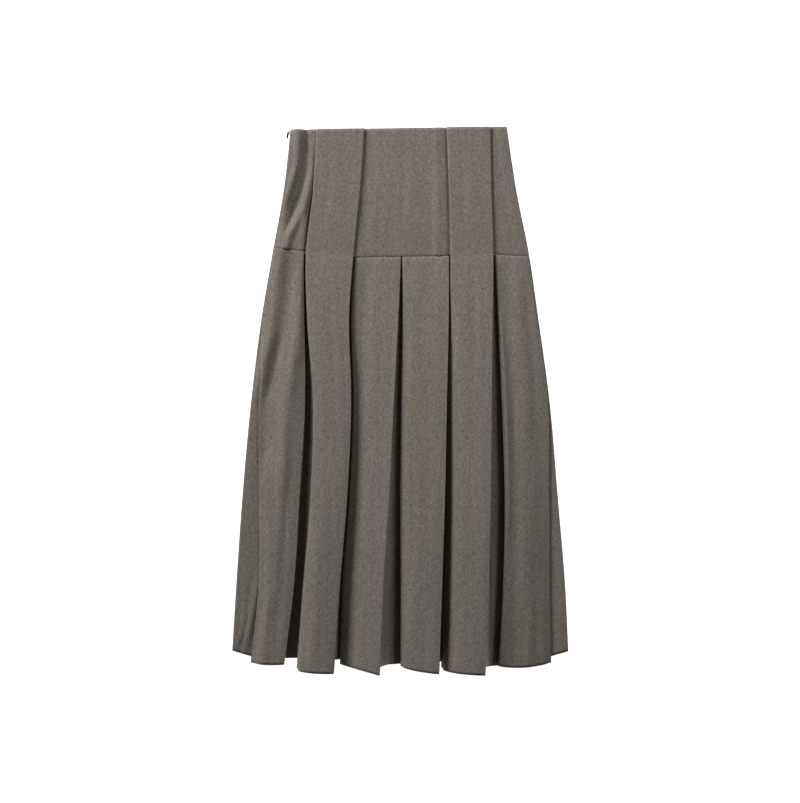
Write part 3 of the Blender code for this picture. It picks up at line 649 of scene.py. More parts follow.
def cloth_piece(name, lines, face_spans, front=True, seams=(False, False), hems=(False, False)):
    """One cut piece: a thin shell lofted through its lines, creased, and rolled under at its seams.

    Seams and hems each say whether the piece has one at its top and at its bottom.
    """
    columns, rows = BACK_NET if not front else YOKE_NET if "yoke" in name else PANEL_NET
    length = max(line.end - line.start for line in lines)
    keys = line_points(lines, edge_rows(length, rows, *seams))
    net, places = rounded_path(keys, [line.bend for line in lines], columns)
    net = creased(name, net, places, face_spans, front)
    net = rolled_edges(net, *seams) if front else net
    walked = walked_along(net, 1)
    middle = walked[:, [walked.shape[1] // 2]]
    piece = add_object(name + "_cloth", mesh_from_net(name, net, walked - middle), SUITING)
    doubled_bands(piece, net, places, len(lines), hems)
    wall = piece.modifiers.new("cloth thickness", "SOLIDIFY")
    wall.thickness = bpy.context.scene.skirt_sizes.cloth_thickness * 2
    wall.offset = 0
    wall.vertex_group = "doubled"
    wall.thickness_vertex_group = 0.5
    wall.use_rim = True
    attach(piece, SKIRT_BODY)
    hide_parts(name)


def doubled_bands(piece, net, places, count, hems):
    """Marks where the cloth is turned in and lies double at the waist and the hem, off the folds."""
    walked = walked_along(net, 0)
    near = np.zeros(net.shape[:2])
    for turned_in, away in zip(hems, (walked, walked[-1:] - walked)):
        if turned_in:
            near = np.maximum(near, ease((DOUBLED_BAND - away) / DOUBLED_FADE + 0.5))
    along = walked_along(net, 1)
    clear = np.ones(net.shape[:2])
    for k in range(1, count - 1):
        fold = along[:, [int(np.argmin(np.abs(places - k)))]]
        away = np.abs(along - fold) / DOUBLED_AWAY_FROM_FOLD
        clear = np.minimum(clear, ease(away - 0.2))
    group = piece.vertex_groups.new(name="doubled")
    weights = np.round((near * clear).reshape(-1), 1)
    for weight in np.unique(weights):
        group.add(np.flatnonzero(weights == weight).tolist(), float(weight), "REPLACE")


def waist_start(across):
    """Where the slanted waist is at a place across it."""
    return -WAIST_TILT * float(across)


def from_seam(lines, side, left, right):
    """The lines of a panel, each of them started at the yoke seam."""
    ends = seam_ends(left.across, right.across)
    seams = (seam_at(side, line.across(YOKE_DEPTH), *ends) for line in lines)
    return [line._replace(start=seam + SEAM_GAP / 2) for line, seam in zip(lines, seams)]


def front_yoke_height(below):
    return FRONT_FACE - yoke_drop(below)


def yoke_line(across, height, side, left, right):
    """A line down a yoke piece, from the waist to just above the yoke seam."""
    end = seam_at(side, float(across(YOKE_DEPTH)), left, right) - SEAM_GAP / 2
    return Line(across, height, waist_start(across(0.0)), end, FACE_BEND)


def make_front_centre_yoke():
    names = ("long_left_right", "long_right_left")
    left, right = (run(FRONT_EDGES[name].across) for name in names)
    ends = seam_ends(left, right)
    first, last = moved(left, -YOKE_TUCK), moved(right, YOKE_TUCK)
    lines = []
    for share in CENTRE_YOKE_SHARES:
        across = blend(first, last, share)
        lines.append(yoke_line(across, front_yoke_height, "centre", *ends))
    cloth_piece("front_centre_yoke", lines, [(0, 6)], seams=(False, True), hems=(True, False))


def make_front_side_yoke(side, long_edge, folds):
    inward = 1 if side == "left" else -1
    side_height = side_level(side)
    outer, inner = (run(FRONT_EDGES[name].across) for name in (f"side_{side}", long_edge))
    ends = seam_ends(outer, inner)
    side_line = yoke_line(outer, side_height, side, *ends)
    lines = list(reversed(side_roll(side_line, side_height, inward)))
    for share in SIDE_YOKE_SHARES:
        across = blend(outer, moved(inner, inward * YOKE_TUCK), share)
        flat = blend(side_height, front_yoke_height, share)

        def height(below, share=share, flat=flat):
            return flat(below) + soft_folds(folds, share, below)

        lines.append(yoke_line(across, height, side, *ends))
    span = (2, 7) if inward > 0 else (0, 5)
    lines = right_to_left(lines, inward)
    cloth_piece(f"front_side_yoke_{side}", lines, [span], seams=(False, True), hems=(True, False))


def make_front_long_pleat(side, left_pleat, right_pleat):
    names = (f"long_{side}_left", f"long_{side}_right")
    left, right = (front_line(name, waist_start(FRONT_EDGES[name].across[0])) for name in names)
    pleat = FRONT_PLEATS[right_pleat]
    left_fold = pleat_right_fold(left, resting_long, FRONT_PLEATS[left_pleat].ends)
    right_fold = pleat_left_fold(right, pleat.lean, resting_long, pleat.ends)
    face = face_lines(left, right, FRONT_FACES[f"long_{side}"])
    last = len(left_fold) + len(face)
    lines = [*left_fold, *face, *right_fold]
    cloth_piece(f"front_long_pleat_{side}", lines, [(4, last)], hems=(True, True))


def make_front_side_panel(side, pleat_name, folds):
    on_left = side == "left"
    inward = 1 if on_left else -1
    panel_edge = f"side_panel_{side}"
    names = (f"side_{side}", f"crease_{side}", panel_edge)
    edge, crease, panel = (below_yoke(name) for name in names)
    pleat = FRONT_PLEATS[pleat_name]
    outer = side_pleat(crease, edge, side_level(side), inward)
    if on_left:
        face = face_lines(crease, panel, FRONT_FACES[panel_edge], folds)
        fold = pleat_left_fold(panel, pleat.lean, resting, pleat.ends)
        partner = below_yoke(pleat.right)
        far = pleat_right_fold(partner, resting, pleat.ends)[0]
        lines = [*reversed(outer), *face, *fold, *underlay(fold[-1], far, pleat.ends)]
        first = len(outer) - 1
    else:
        face = face_lines(panel, crease, FRONT_FACES[panel_edge], folds)
        partner = below_yoke(pleat.left)
        near = pleat_left_fold(partner, pleat.lean, resting_long, pleat.ends)[-1]
        fold = pleat_right_fold(panel, resting, pleat.ends)
        under = underlay(near, fold[0], pleat.ends, settles=True)
        lines = [*under, *fold, *face, *outer]
        first = len(under) + len(fold) - 1
    lines = from_seam(lines, side, edge, partner)
    spans = [(first, first + len(face) + 1)]
    if on_left:
        spans.append(SIDE_STRIP)
    cloth_piece(f"front_side_panel_{side}", lines, spans, seams=(True, False), hems=(False, True))


def make_front_centre_panels():
    """The two centre panels, joined inside the centre pleat."""
    names = ("centre_left_left", "centre_left_right", "centre_right_left", "centre_right_right")
    first, second, third, fourth = (below_yoke(name) for name in names)
    pleats = ("long_left", "centre", "long_right")
    left_pleat, centre, right_pleat = (FRONT_PLEATS[name] for name in pleats)
    long_left, long_right = below_yoke(left_pleat.left), below_yoke(right_pleat.right)

    near = pleat_left_fold(long_left, left_pleat.lean, resting_long, left_pleat.ends)[-1]
    left_fold = pleat_right_fold(first, resting, left_pleat.ends)
    centre_left = pleat_left_fold(second, centre.lean, resting, centre.ends)
    centre_right = pleat_right_fold(third, resting, centre.ends)
    right_fold = pleat_left_fold(fourth, right_pleat.lean, resting, right_pleat.ends)
    far = pleat_right_fold(long_right, resting, right_pleat.ends)[0]

    under = [*underlay(near, left_fold[0], left_pleat.ends, settles=True), *left_fold]
    face = face_lines(first, second, FRONT_FACES["centre_left"])
    middle = underlay(centre_left[-1], centre_right[0], centre.ends)
    left = [*under, *face, *centre_left, *middle]
    left_span = (len(under) - 1, len(under) + len(face))
    face = face_lines(third, fourth, FRONT_FACES["centre_right"])
    under = underlay(right_fold[-1], far, right_pleat.ends)
    right = [*centre_right, *face, *right_fold, *under]
    right_span = (len(centre_right) - 1, len(centre_right) + len(face))
    for side, lines, span in (("left", left, left_span), ("right", right, right_span)):
        lines = from_seam(lines, "centre", long_left, long_right)
        name = f"front_centre_panel_{side}"
        cloth_piece(name, lines, [span], seams=(True, False), hems=(False, True))


def back_edge(name, mirror=1):
    """A fold edge of the back, as a run across; mirrored by -1."""
    return run([mirror * place for place in BACK_EDGES[name]], (0, YOKE_DEPTH, HEM_DEPTH))


def back_hem(across):
    """The back's hem, which rises to the sides."""
    reach = FRONT_EDGES["side_right"].across[-1]
    return BACK_HEM - BACK_HEM_RISE * (float(across) / reach) ** 2


def mirrored(folds):
    return [(lambda below, a=across: -a(below), height) for across, height in reversed(folds)]


def right_to_left(lines, mirror):
    """Lines in order across, from the viewer's left to right."""
    return lines if mirror > 0 else list(reversed(lines))


def back_lines(folds, start=None):
    """Flat lines down the back, from the waist or from the yoke seam to the hem."""
    lines = []
    for across, height in folds:
        top = waist_start(across(0.0)) if start is None else start
        lines.append(Line(across, level(height), top, back_hem(across(HEM_DEPTH))))
    return lines


def back_roll(side, inward, start, end):
    """The lines from the side seam round to the flat of the back."""
    side_line = Line(run(FRONT_EDGES[f"side_{side}"].across), None, start, end)
    return list(reversed(side_roll(side_line, side_level(side), inward, front=False)))


def make_back_panels():
    start = YOKE_DEPTH + SEAM_GAP / 2
    for side, mirror in (("left", 1), ("right", -1)):
        hem = back_hem(FRONT_EDGES[f"side_{side}"].across[-1])
        lines = back_roll(side, mirror, start, hem)
        panel, outer = back_edge("side_panel", mirror), back_edge("long_outer", mirror)
        inner, tuck = moved(panel, -mirror * PLEAT_DEPTH), moved(outer, mirror * PLEAT_DEPTH)
        folds = [(panel, BACK_FACE), (panel, BACK_RETURN), (inner, BACK_RETURN)]
        folds += [(inner, BACK_UNDERLAY), (tuck, BACK_UNDERLAY)]
        lines = right_to_left(lines + back_lines(folds, start), mirror)
        span = (2, 3) if mirror > 0 else (4, 5)
        cloth_piece(f"back_side_panel_{side}", lines, [span], front=False, hems=(False, True))

        inner = back_edge("long_inner", mirror)
        reach = mirror * (PLEAT_DEPTH - BACK_SHORT)
        folds = [(moved(outer, reach), BACK_RETURN), (outer, BACK_RETURN), (outer, BACK_FACE)]
        folds += [(inner, BACK_FACE), (inner, BACK_RETURN), (moved(inner, -reach), BACK_RETURN)]
        lines = right_to_left(back_lines(folds), mirror)
        cloth_piece(f"back_long_pleat_{side}", lines, [(2, 3)], front=False, hems=(True, True))

    names = ("long_inner", "centre_outer", "centre_inner")
    inner, outer, centre = (back_edge(name) for name in names)
    tuck, fold = moved(outer, PLEAT_DEPTH), moved(centre, -PLEAT_DEPTH)
    half = [(moved(inner, -PLEAT_DEPTH), BACK_UNDERLAY), (tuck, BACK_UNDERLAY)]
    half += [(tuck, BACK_RETURN), (outer, BACK_RETURN), (outer, BACK_FACE), (centre, BACK_FACE)]
    half += [(centre, BACK_RETURN), (fold, BACK_RETURN), (fold, BACK_UNDERLAY)]
    lines = back_lines(half + mirrored(half), start)
    spans = [(4, 5), (12, 13)]
    cloth_piece("back_centre_panel", lines, spans, front=False, hems=(False, True))


def make_back_yokes():
    end = YOKE_DEPTH - SEAM_GAP / 2

    def waist_lines(folds):
        return [Line(a, level(h), waist_start(a(0.0)), end, BACK_BEND) for a, h in folds]

    first, last = YOKE_STEP
    for side, mirror in (("left", 1), ("right", -1)):
        start = waist_start(FRONT_EDGES[f"side_{side}"].across[0])
        lines = back_roll(side, mirror, start, end)
        outer = back_edge("long_outer", mirror)
        folds = [(moved(outer, -mirror * first), BACK_FACE)]
        folds += [(moved(outer, -mirror * last), BACK_UNDERLAY)]
        folds += [(moved(outer, mirror * YOKE_TUCK), BACK_UNDERLAY)]
        lines = right_to_left(lines + waist_lines(folds), mirror)
        cloth_piece(f"back_side_yoke_{side}", lines, [], front=False, hems=(True, False))

    inner = back_edge("long_inner")
    half = [(moved(inner, -YOKE_TUCK), BACK_UNDERLAY), (moved(inner, last), BACK_UNDERLAY)]
    half += [(moved(inner, first), BACK_FACE)]
    lines = waist_lines(half + mirrored(half))
    cloth_piece("back_centre_yoke", lines, [(2, 3)], front=False, hems=(True, False))


# Noise is cut on a slant through its lattice, so that no grid of it shows in the cloth
NOISE_TURN = (0.62, 0.47, 0.33)
# A colour Mix node's sockets for the share and the two colours, and its colour output
MIX_SOCKETS, MIX_COLOUR = (0, 6, 7), 2
# The Texture Coordinate node's output for the place on the object
OBJECT_PLACE = 3


class Number:
    """A shader socket that carries a number, so that sums on it read as plain arithmetic."""

    def __init__(self, shading, socket):
        self.shading, self.socket = shading, socket

    def _math(self, operation, first, second):
        return self.shading.node("ShaderNodeMath", {"operation": operation}, first, second)

    def __add__(self, other):
        return self._math("ADD", self, other)

    def __sub__(self, other):
        return self._math("SUBTRACT", self, other)

    def __mul__(self, other):
        return self._math("MULTIPLY", self, other)

    def clamped(self):
        """The number kept from 0 to 1."""
        kept = {"operation": "ADD", "use_clamp": True}
        return self.shading.node("ShaderNodeMath", kept, self, 0.0)

    def sine(self):
        return self._math("SINE", self, 0.0)

    def beside(self, output):
        """Another output of the same node."""
        return Number(self.shading, self.socket.node.outputs[output])


class Shading:
    """The node tree of one material."""

    def __init__(self, name):
        self.material = bpy.data.materials.new(name)
        self.material.use_nodes = True
        self.tree = self.material.node_tree
        self.shader = self.tree.nodes["Principled BSDF"]

    def node(self, kind, settings, *values, output=0, **named):
        """Adds a node: its settings, then what its sockets get, by order or by name."""
        node = self.tree.nodes.new(kind)
        for key, value in settings.items():
            setattr(node, key, value)
        for key, value in [*enumerate(values), *named.items()]:
            socket = node.inputs[key if isinstance(key, int) else key.replace("_", " ")]
            self.feed(socket, value)
        return Number(self, node.outputs[output])

    def feed(self, socket, value):
        if isinstance(value, Number):
            self.tree.links.new(value.socket, socket)
        else:
            socket.default_value = value

    def set(self, **sockets):
        """Sets or links sockets of the surface shader, with underscores for spaces."""
        for key, value in sockets.items():
            self.feed(self.shader.inputs[key.replace("_", " ")], value)

    def mix(self, share, first, second):
        """A colour between two colours."""
        node = self.tree.nodes.new("ShaderNodeMix")
        node.data_type = "RGBA"
        for socket, value in zip(MIX_SOCKETS, (share, first, second)):
            self.feed(node.inputs[socket], value)
        return Number(self, node.outputs[MIX_COLOUR])

    def times(self, first, second):
        """A colour or a place, each part of it times that of another."""
        return self.node("ShaderNodeVectorMath", {"operation": "MULTIPLY"}, first, second)

    def noise(self, place, stretch, detail):
        """Noise on a place, stretched by different amounts: so many grains for each metre."""
        slant = {"rotation_type": "EULER_XYZ"}
        scaled = self.times(place, stretch)
        turned = self.node("ShaderNodeVectorRotate", slant, Vector=scaled, Rotation=NOISE_TURN)
        return self.node("ShaderNodeTexNoise", {}, Vector=turned, Scale=1.0, Detail=detail)

    def bump(self, strength, distance, height):
        """The surface's relief as a normal; the distance is in metres."""
        depth = {"Strength": strength, "Distance": distance}
        return self.node("ShaderNodeBump", {}, **depth, Height=height)


# Grains for each metre across and down the cloth: slubs along each yarn, the mixed fibres and
# the streaks down the cloth; and grains each way of the zip's tape and of scuffs on its metal
WARP_SLUBS, WEFT_SLUBS = (1000, 190, 1), (190, 1000, 1)
HEATHER, STREAKS = (1100, 1100, 1), (115, 9, 1)
TAPE_GRAIN, SCUFF_GRAIN = (2200, 2200, 2200), (900, 900, 900)


def suiting_material(sizes):
    """Heathered suiting: mixed yarns with slubs both ways, a fine plain weave and a soft sheen."""
    cloth = Shading(SUITING)
    place = cloth.node("ShaderNodeUVMap", {"uv_map": "cloth"})
    warp_slubs = cloth.noise(place, WARP_SLUBS, 1.0)
    weft_slubs = cloth.noise(place, WEFT_SLUBS, 1.0)
    heather = cloth.noise(place, HEATHER, 1.0)
    streaks = cloth.noise(place, STREAKS, 2.0)
    across = cloth.node("ShaderNodeSeparateXYZ", {}, place)
    down = across.beside(1)
    pitch = 2 * math.pi / sizes.thread_pitch
    weave = ((across * pitch).sine() * (down * pitch).sine()) * 0.5 + 0.5

    slubs = (warp_slubs - 0.5) * 1.7 + (weft_slubs - 0.5) * 1.2
    light = (slubs + (heather - 0.5) * 1.6 + 0.5).clamped()
    yarns = cloth.mix(light, (*sizes.dark_yarn, 1), (*sizes.light_yarn, 1))
    streaked = ((streaks - 0.5) * 2.2 + 0.5).clamped()
    tone = cloth.mix(streaked, (0.9, 0.915, 0.915, 1), (1.1, 1.085, 1.085, 1))
    thread_shade = cloth.mix(weave, (0.9, 0.9, 0.9, 1), (1.05, 1.05, 1.05, 1))
    relief = weave * 0.35 + warp_slubs * 0.5 + weft_slubs * 0.5 + heather * 0.4
    cloth.set(
        Base_Color=cloth.times(cloth.times(yarns, tone), thread_shade),
        Roughness=((heather - 0.5) * 0.2 + 0.88).clamped(),
        Sheen_Weight=0.12,
        Sheen_Roughness=0.55,
        Specular_IOR_Level=0.22,
        Normal=cloth.bump(0.3, 0.0003, relief),
    )


def zip_materials():
    """Black woven tape and black enamelled metal, a little scuffed."""
    tape = Shading(ZIP_TAPE)
    place = tape.node("ShaderNodeTexCoord", {}, output=OBJECT_PLACE)
    weave = tape.noise(place, TAPE_GRAIN, 1.0)
    tape.set(
        Base_Color=tape.mix(weave, (0.006, 0.006, 0.007, 1), (0.022, 0.021, 0.022, 1)),
        Roughness=(weave * 0.2 + 0.6).clamped(),
        Normal=tape.bump(0.4, 0.0002, weave),
    )
    metal = Shading(ZIP_METAL)
    place = metal.node("ShaderNodeTexCoord", {}, output=OBJECT_PLACE)
    scuffs = metal.noise(place, SCUFF_GRAIN, 3.0)
    metal.set(
        Base_Color=metal.mix(scuffs, (0.004, 0.004, 0.005, 1), (0.016, 0.015, 0.015, 1)),
        Specular_IOR_Level=0.12,
        Roughness=(scuffs * 0.2 + 0.6).clamped(),
        Normal=metal.bump(0.15, 0.0001, scuffs),
    )


# The teeth's sizes in metres, as their tree's inputs
TEETH_SIZES = (("Pitch", 0.0013), ("Tooth Length", 0.0008), ("Tooth Width", 0.0006))


def teeth_tree():
    """Zip teeth, one for each step along a path."""
    tree = bpy.data.node_groups.new("zip teeth", "GeometryNodeTree")
    face = tree.interface
    face.new_socket("Geometry", in_out="INPUT", socket_type="NodeSocketGeometry")
    for name, value in TEETH_SIZES:
        socket = face.new_socket(name, in_out="INPUT", socket_type="NodeSocketFloat")
        socket.default_value = value
    face.new_socket("Material", in_out="INPUT", socket_type="NodeSocketMaterial")
    face.new_socket("Geometry", in_out="OUTPUT", socket_type="NodeSocketGeometry")

    def add(kind, **settings):
        node = tree.nodes.new(kind)
        for key, value in settings.items():
            setattr(node, key, value)
        return node

    def link(source, output, target, socket):
        tree.links.new(source.outputs[output], target.inputs[socket])

    given, made = add("NodeGroupInput"), add("NodeGroupOutput")
    path = add("GeometryNodeMeshToCurve")
    points = add("GeometryNodeCurveToPoints", mode="LENGTH")
    size = add("ShaderNodeCombineXYZ")
    tooth = add("GeometryNodeMeshCube")
    place = add("GeometryNodeInstanceOnPoints")
    real, finish = add("GeometryNodeRealizeInstances"), add("GeometryNodeSetMaterial")
    link(given, "Geometry", path, "Mesh")
    link(path, "Curve", points, "Curve")
    link(given, "Pitch", points, "Length")
    link(given, "Tooth Width", size, "X")
    link(given, "Tooth Length", size, "Y")
    link(given, "Tooth Length", size, "Z")
    link(size, "Vector", tooth, "Size")
    link(points, "Points", place, "Points")
    link(points, "Rotation", place, "Rotation")
    link(tooth, "Mesh", place, "Instance")
    link(place, "Instances", real, "Geometry")
    link(real, "Geometry", finish, "Geometry")
    link(given, "Material", finish, "Material")
    link(finish, "Geometry", made, "Geometry")
    return tree


# The zip in the side seam, in millimetres: where it starts and ends below the waist, how far
# inside that its teeth start and end, where the tape and the teeth lie beside the side edge,
# how much the tape bows, and how far it reaches towards the front and the back
ZIP_TOP, ZIP_BOTTOM, TEETH_INSET = 4.0, 200.0, 2.0
TAPE_BESIDE, TEETH_BESIDE = 1.35, 0.75
TAPE_BOW, TAPE_REACH = 0.12, 0.28
TAPE_ROWS, TEETH_ROWS = 50, 60
TAPE_THICKNESS = 0.0004


def zip_line(below, beside, share=0.0):
    """Points down the side seam, level with its middle or a share of the tape's reach above it."""
    side, front = run(FRONT_EDGES["side_left"].across), side_level("left")(below)
    middle, reach = (front + BACK_FACE) / 2, TAPE_REACH * (front - BACK_FACE) / 2
    return np.stack([side(below) + beside, WAIST_Y - below, middle + share * reach], axis=1)


def make_zip_tape():
    below = np.linspace(ZIP_TOP, ZIP_BOTTOM, TAPE_ROWS)
    columns = []
    for share in (-1.0, -0.5, 0.0, 0.5, 1.0):
        columns.append(zip_line(below, TAPE_BESIDE + TAPE_BOW * share * share, share))
    net = np.stack(columns, axis=1)
    name = "side_zip_tape"
    tape = add_object(name, mesh_from_net(name, net, walked_along(net, 1)), ZIP_TAPE)
    wall = tape.modifiers.new("tape thickness", "SOLIDIFY")
    wall.thickness, wall.offset = TAPE_THICKNESS, 0
    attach(tape, SKIRT_BODY)
    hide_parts("side_zip_chain")


def make_zip_teeth():
    """The teeth, one for each step down a path, turned into a plain mesh."""
    below = np.linspace(ZIP_TOP + TEETH_INSET, ZIP_BOTTOM - TEETH_INSET, TEETH_ROWS)
    points = zip_line(below, TEETH_BESIDE) * MM
    mesh = bpy.data.meshes.new("zip_path")
    mesh.from_pydata(points.tolist(), [(i, i + 1) for i in range(len(points) - 1)], [])
    path = add_object("zip_path", mesh)
    tree = teeth_tree()
    rows = path.modifiers.new("teeth", "NODES")
    rows.node_group = tree
    inputs = [item for item in tree.interface.items_tree if item.in_out == "INPUT"]
    sockets = {item.name: item.identifier for item in inputs}
    rows[sockets["Material"]] = bpy.data.materials[ZIP_METAL]
    evaluated = path.evaluated_get(bpy.context.evaluated_depsgraph_get())
    teeth = add_object("side_zip_teeth", bpy.data.meshes.new_from_object(evaluated))
    bpy.data.objects.remove(path)
    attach(teeth, SKIRT_BODY)


def make_zip():
    """The closed zip in the side seam: its tape, its teeth, its slider's metal and its pull tab."""
    zip_materials()
    make_zip_tape()
    make_zip_teeth()
    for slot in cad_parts["zip_slider"].material_slots:
        slot.material = bpy.data.materials[ZIP_METAL]
    make_pull_tab()


# The pull tab, in metres: how far askew it is, the bottom of its hole (from and to below the
# tab's top, and half its width) and how much higher that ends here, and how round its edges are
PULL_ASKEW = math.radians(28)
HOLE_BOTTOM = (0.002, 0.0045)
HOLE_HALF_WIDTH = 0.0014
HOLE_SHORTER = 0.0004
PULL_ROUNDING = 0.00018
# Corners of the solid's loose triangles closer than this are one, and faces flatter than this
MERGE_WITHIN = 1e-6
FLAT_WITHIN = math.radians(1)


def merged_copy(node):
    """A solid's mesh as one net of flat faces, where the solid is."""
    mesh = node.data.copy()
    mesh.transform(node.matrix_world)
    net = bmesh.new()
    net.from_mesh(mesh)
    bmesh.ops.remove_doubles(net, verts=net.verts, dist=MERGE_WITHIN)
    bmesh.ops.dissolve_limit(net, angle_limit=FLAT_WITHIN, verts=net.verts, edges=net.edges)
    net.to_mesh(mesh)
    net.free()
    mesh.materials.clear()
    return mesh


def make_pull_tab():
    """The pull tab, a little askew on its bridge, with rounded edges."""
    mesh = merged_copy(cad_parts["zip_pull_tab"])
    corners = np.array([corner.co for corner in mesh.vertices])
    top, bottom = corners[corners[:, 1].argmax()], corners[corners[:, 1].argmin()]
    along = Vector(bottom - top)
    along.z = 0
    middle = Vector((corners.max(axis=0) + corners.min(axis=0)) / 2)
    for corner in mesh.vertices:
        beside = abs(corner.co.z - middle.z)
        if HOLE_BOTTOM[0] < top[1] - corner.co.y < HOLE_BOTTOM[1] and beside < HOLE_HALF_WIDTH:
            corner.co -= along.normalized() * HOLE_SHORTER
    turn = Matrix.Rotation(PULL_ASKEW, 4, along.normalized())
    mesh.transform(Matrix.Translation(middle) @ turn @ Matrix.Translation(-middle))
    tab = add_object("pull_tab_metal", mesh, ZIP_METAL)
    rounding = tab.modifiers.new("rounded edges", "BEVEL")
    rounding.width, rounding.segments = PULL_ROUNDING, 2
    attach(tab, PULL_BODY)
    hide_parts("zip_pull_tab")


# Lights, in metres: where each stands, the point that it faces, and its width
KEY_LIGHT = ((-2.35, 2.6, 1.6), (0.8, 2.6, 0), 1.4)
FILL_LIGHT = ((1.8, 2.0, 1.5), (0, 0.2, 0), 0.9)
# What one pixel of the photo covers in millimetres, its height in pixels, and the camera's and
# the floor's sizes: height above the table, sensor, and the floor's width
PIXEL_MM, PHOTO_HEIGHT = 1.62, 803
CAMERA_HEIGHT, SENSOR_MM = 3.0, 36.0
FLOOR_WIDTH = 12


def area_light(name, place, target, size, power):
    """A round soft light that faces a point."""
    light = bpy.data.lights.new(name, "AREA")
    light.shape = "DISK"
    light.size, light.energy = size, power
    lamp = add_object(name, light)
    lamp.location = place
    lamp.rotation_euler = (Vector(target) - Vector(place)).to_track_quat("-Z", "Y").to_euler()


def make_stage(sizes):
    """A plain white floor, soft studio light and a camera straight above the skirt."""
    bpy.ops.mesh.primitive_plane_add(size=FLOOR_WIDTH)
    floor = bpy.context.object
    floor.name = "studio_floor"
    paper = Shading("white studio floor")
    paper.set(
        Base_Color=(*sizes.floor_colour, 1),
        Roughness=0.9,
        Specular_IOR_Level=0.0,
        Emission_Color=(1, 1, 1, 1),
        Emission_Strength=sizes.floor_glow,
    )
    floor.data.materials.append(paper.material)

    area_light("key", *KEY_LIGHT, sizes.key_light)
    area_light("fill", *FILL_LIGHT, sizes.fill_light)
    scene = bpy.context.scene
    scene.world = bpy.data.worlds.new("studio")
    scene.world.use_nodes = True
    surroundings = scene.world.node_tree.nodes["Background"].inputs
    surroundings["Color"].default_value = (1, 1, 1, 1)
    surroundings["Strength"].default_value = sizes.world_light
    scene.view_settings.view_transform = "Standard"
    scene.view_settings.look = "None"

    camera = bpy.data.cameras.new("camera")
    camera.sensor_fit = "VERTICAL"
    camera.sensor_height = SENSOR_MM
    camera.lens = SENSOR_MM * CAMERA_HEIGHT / (PHOTO_HEIGHT * PIXEL_MM * MM)
    scene.camera = add_object("camera", camera)
    scene.camera.location = (0, 0, CAMERA_HEIGHT)


class SkirtSizes(bpy.types.PropertyGroup):
    """The sizes, colours and lights of the skirt that a user would change."""

    cloth_thickness: bpy.props.FloatProperty(
        name="Cloth thickness", description="Thickness of one layer of cloth", default=0.0006,
        unit="LENGTH"
    )
    crease_strength: bpy.props.FloatProperty(
        name="Crease strength", description="How deep the creases and ripples are", default=1.0,
        min=0, max=2
    )
    thread_pitch: bpy.props.FloatProperty(
        name="Thread pitch", description="Distance over which the weave repeats", default=0.0011,
        unit="LENGTH"
    )
    dark_yarn: bpy.props.FloatVectorProperty(
        name="Dark yarn", description="Colour of the darker yarn", subtype="COLOR",
        default=(0.078, 0.067, 0.056)
    )
    light_yarn: bpy.props.FloatVectorProperty(
        name="Light yarn", description="Colour of the lighter yarn", subtype="COLOR",
        default=(0.188, 0.164, 0.142)
    )
    floor_colour: bpy.props.FloatVectorProperty(
        name="Floor", description="Colour of the studio floor", subtype="COLOR",
        default=(0.9, 0.9, 0.9)
    )
    floor_glow: bpy.props.FloatProperty(
        name="Floor glow", description="How much the white table under the skirt glows",
        default=1.0, min=0
    )
    key_light: bpy.props.FloatProperty(
        name="Key light", description="Power of the light at the upper left in watts",
        default=314, min=0
    )
    fill_light: bpy.props.FloatProperty(
        name="Fill light", description="Power of the light at the right in watts", default=52,
        min=0
    )
    world_light: bpy.props.FloatProperty(
        name="Surroundings", description="Brightness of the white surroundings", default=0.09
    )


class SKIRT_OT_front_yokes(bpy.types.Operator):
    """Make the three pieces of the front yoke."""

    bl_idname = "skirt.front_yokes"
    bl_label = "Front yokes"

    def execute(self, context):
        suiting_material(context.scene.skirt_sizes)
        make_front_centre_yoke()
        make_front_side_yoke("left", "long_left_left", YOKE_FOLDS)
        make_front_side_yoke("right", "long_right_right", ())
        return {"FINISHED"}


class SKIRT_OT_front_pleats(bpy.types.Operator):
    """Make the two long pleats that run from the waist to the hem."""

    bl_idname = "skirt.front_pleats"
    bl_label = "Front long pleats"

    def execute(self, context):
        make_front_long_pleat("left", "side_left", "long_left")
        make_front_long_pleat("right", "long_right", "side_right")
        return {"FINISHED"}


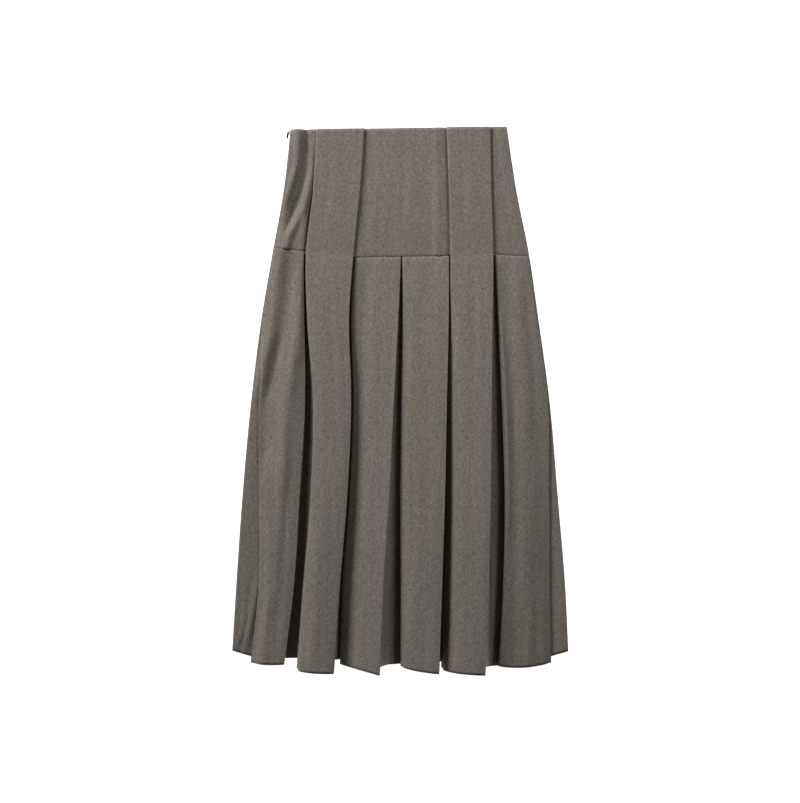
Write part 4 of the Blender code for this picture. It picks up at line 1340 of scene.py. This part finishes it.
class SKIRT_OT_front_panels(bpy.types.Operator):
    """Make the four front panels below the yoke."""

    bl_idname = "skirt.front_panels"
    bl_label = "Front panels"

    def execute(self, context):
        make_front_centre_panels()
        make_front_side_panel("left", "side_left", PANEL_FOLDS)
        make_front_side_panel("right", "side_right", ())
        return {"FINISHED"}


class SKIRT_OT_back(bpy.types.Operator):
    """Make the back, which lies flat under the front."""

    bl_idname = "skirt.back"
    bl_label = "Back"

    def execute(self, context):
        make_back_panels()
        make_back_yokes()
        return {"FINISHED"}


class SKIRT_OT_zip(bpy.types.Operator):
    """Make the side zip."""

    bl_idname = "skirt.zip"
    bl_label = "Side zip"

    def execute(self, context):
        make_zip()
        return {"FINISHED"}


class SKIRT_OT_stage(bpy.types.Operator):
    """Make the floor, the lights and the camera."""

    bl_idname = "skirt.stage"
    bl_label = "Studio"

    def execute(self, context):
        make_stage(context.scene.skirt_sizes)
        return {"FINISHED"}


OPERATORS = (
    SKIRT_OT_front_yokes,
    SKIRT_OT_front_pleats,
    SKIRT_OT_front_panels,
    SKIRT_OT_back,
    SKIRT_OT_zip,
    SKIRT_OT_stage,
)


class SKIRT_PT_panel(bpy.types.Panel):
    """Lists the skirt's sizes and its steps in the sidebar."""

    bl_label = "Pleated skirt"
    bl_idname = "SKIRT_PT_panel"
    bl_space_type = "VIEW_3D"
    bl_region_type = "UI"
    bl_category = "Skirt"

    def draw(self, context):
        for name in SkirtSizes.__annotations__:
            self.layout.prop(context.scene.skirt_sizes, name)
        for operator in OPERATORS:
            self.layout.operator(operator.bl_idname)


CLASSES = (SkirtSizes, *OPERATORS, SKIRT_PT_panel)


def register():
    for cls in CLASSES:
        bpy.utils.register_class(cls)
    bpy.types.Scene.skirt_sizes = bpy.props.PointerProperty(type=SkirtSizes)


def unregister():
    del bpy.types.Scene.skirt_sizes
    for cls in reversed(CLASSES):
        bpy.utils.unregister_class(cls)


def main():
    register()
    bpy.ops.skirt.front_yokes()
    bpy.ops.skirt.front_pleats()
    bpy.ops.skirt.front_panels()
    bpy.ops.skirt.back()
    bpy.ops.skirt.zip()
    bpy.ops.skirt.stage()
    bpy.context.view_layer.update()


if __name__ == "__main__":
    main()
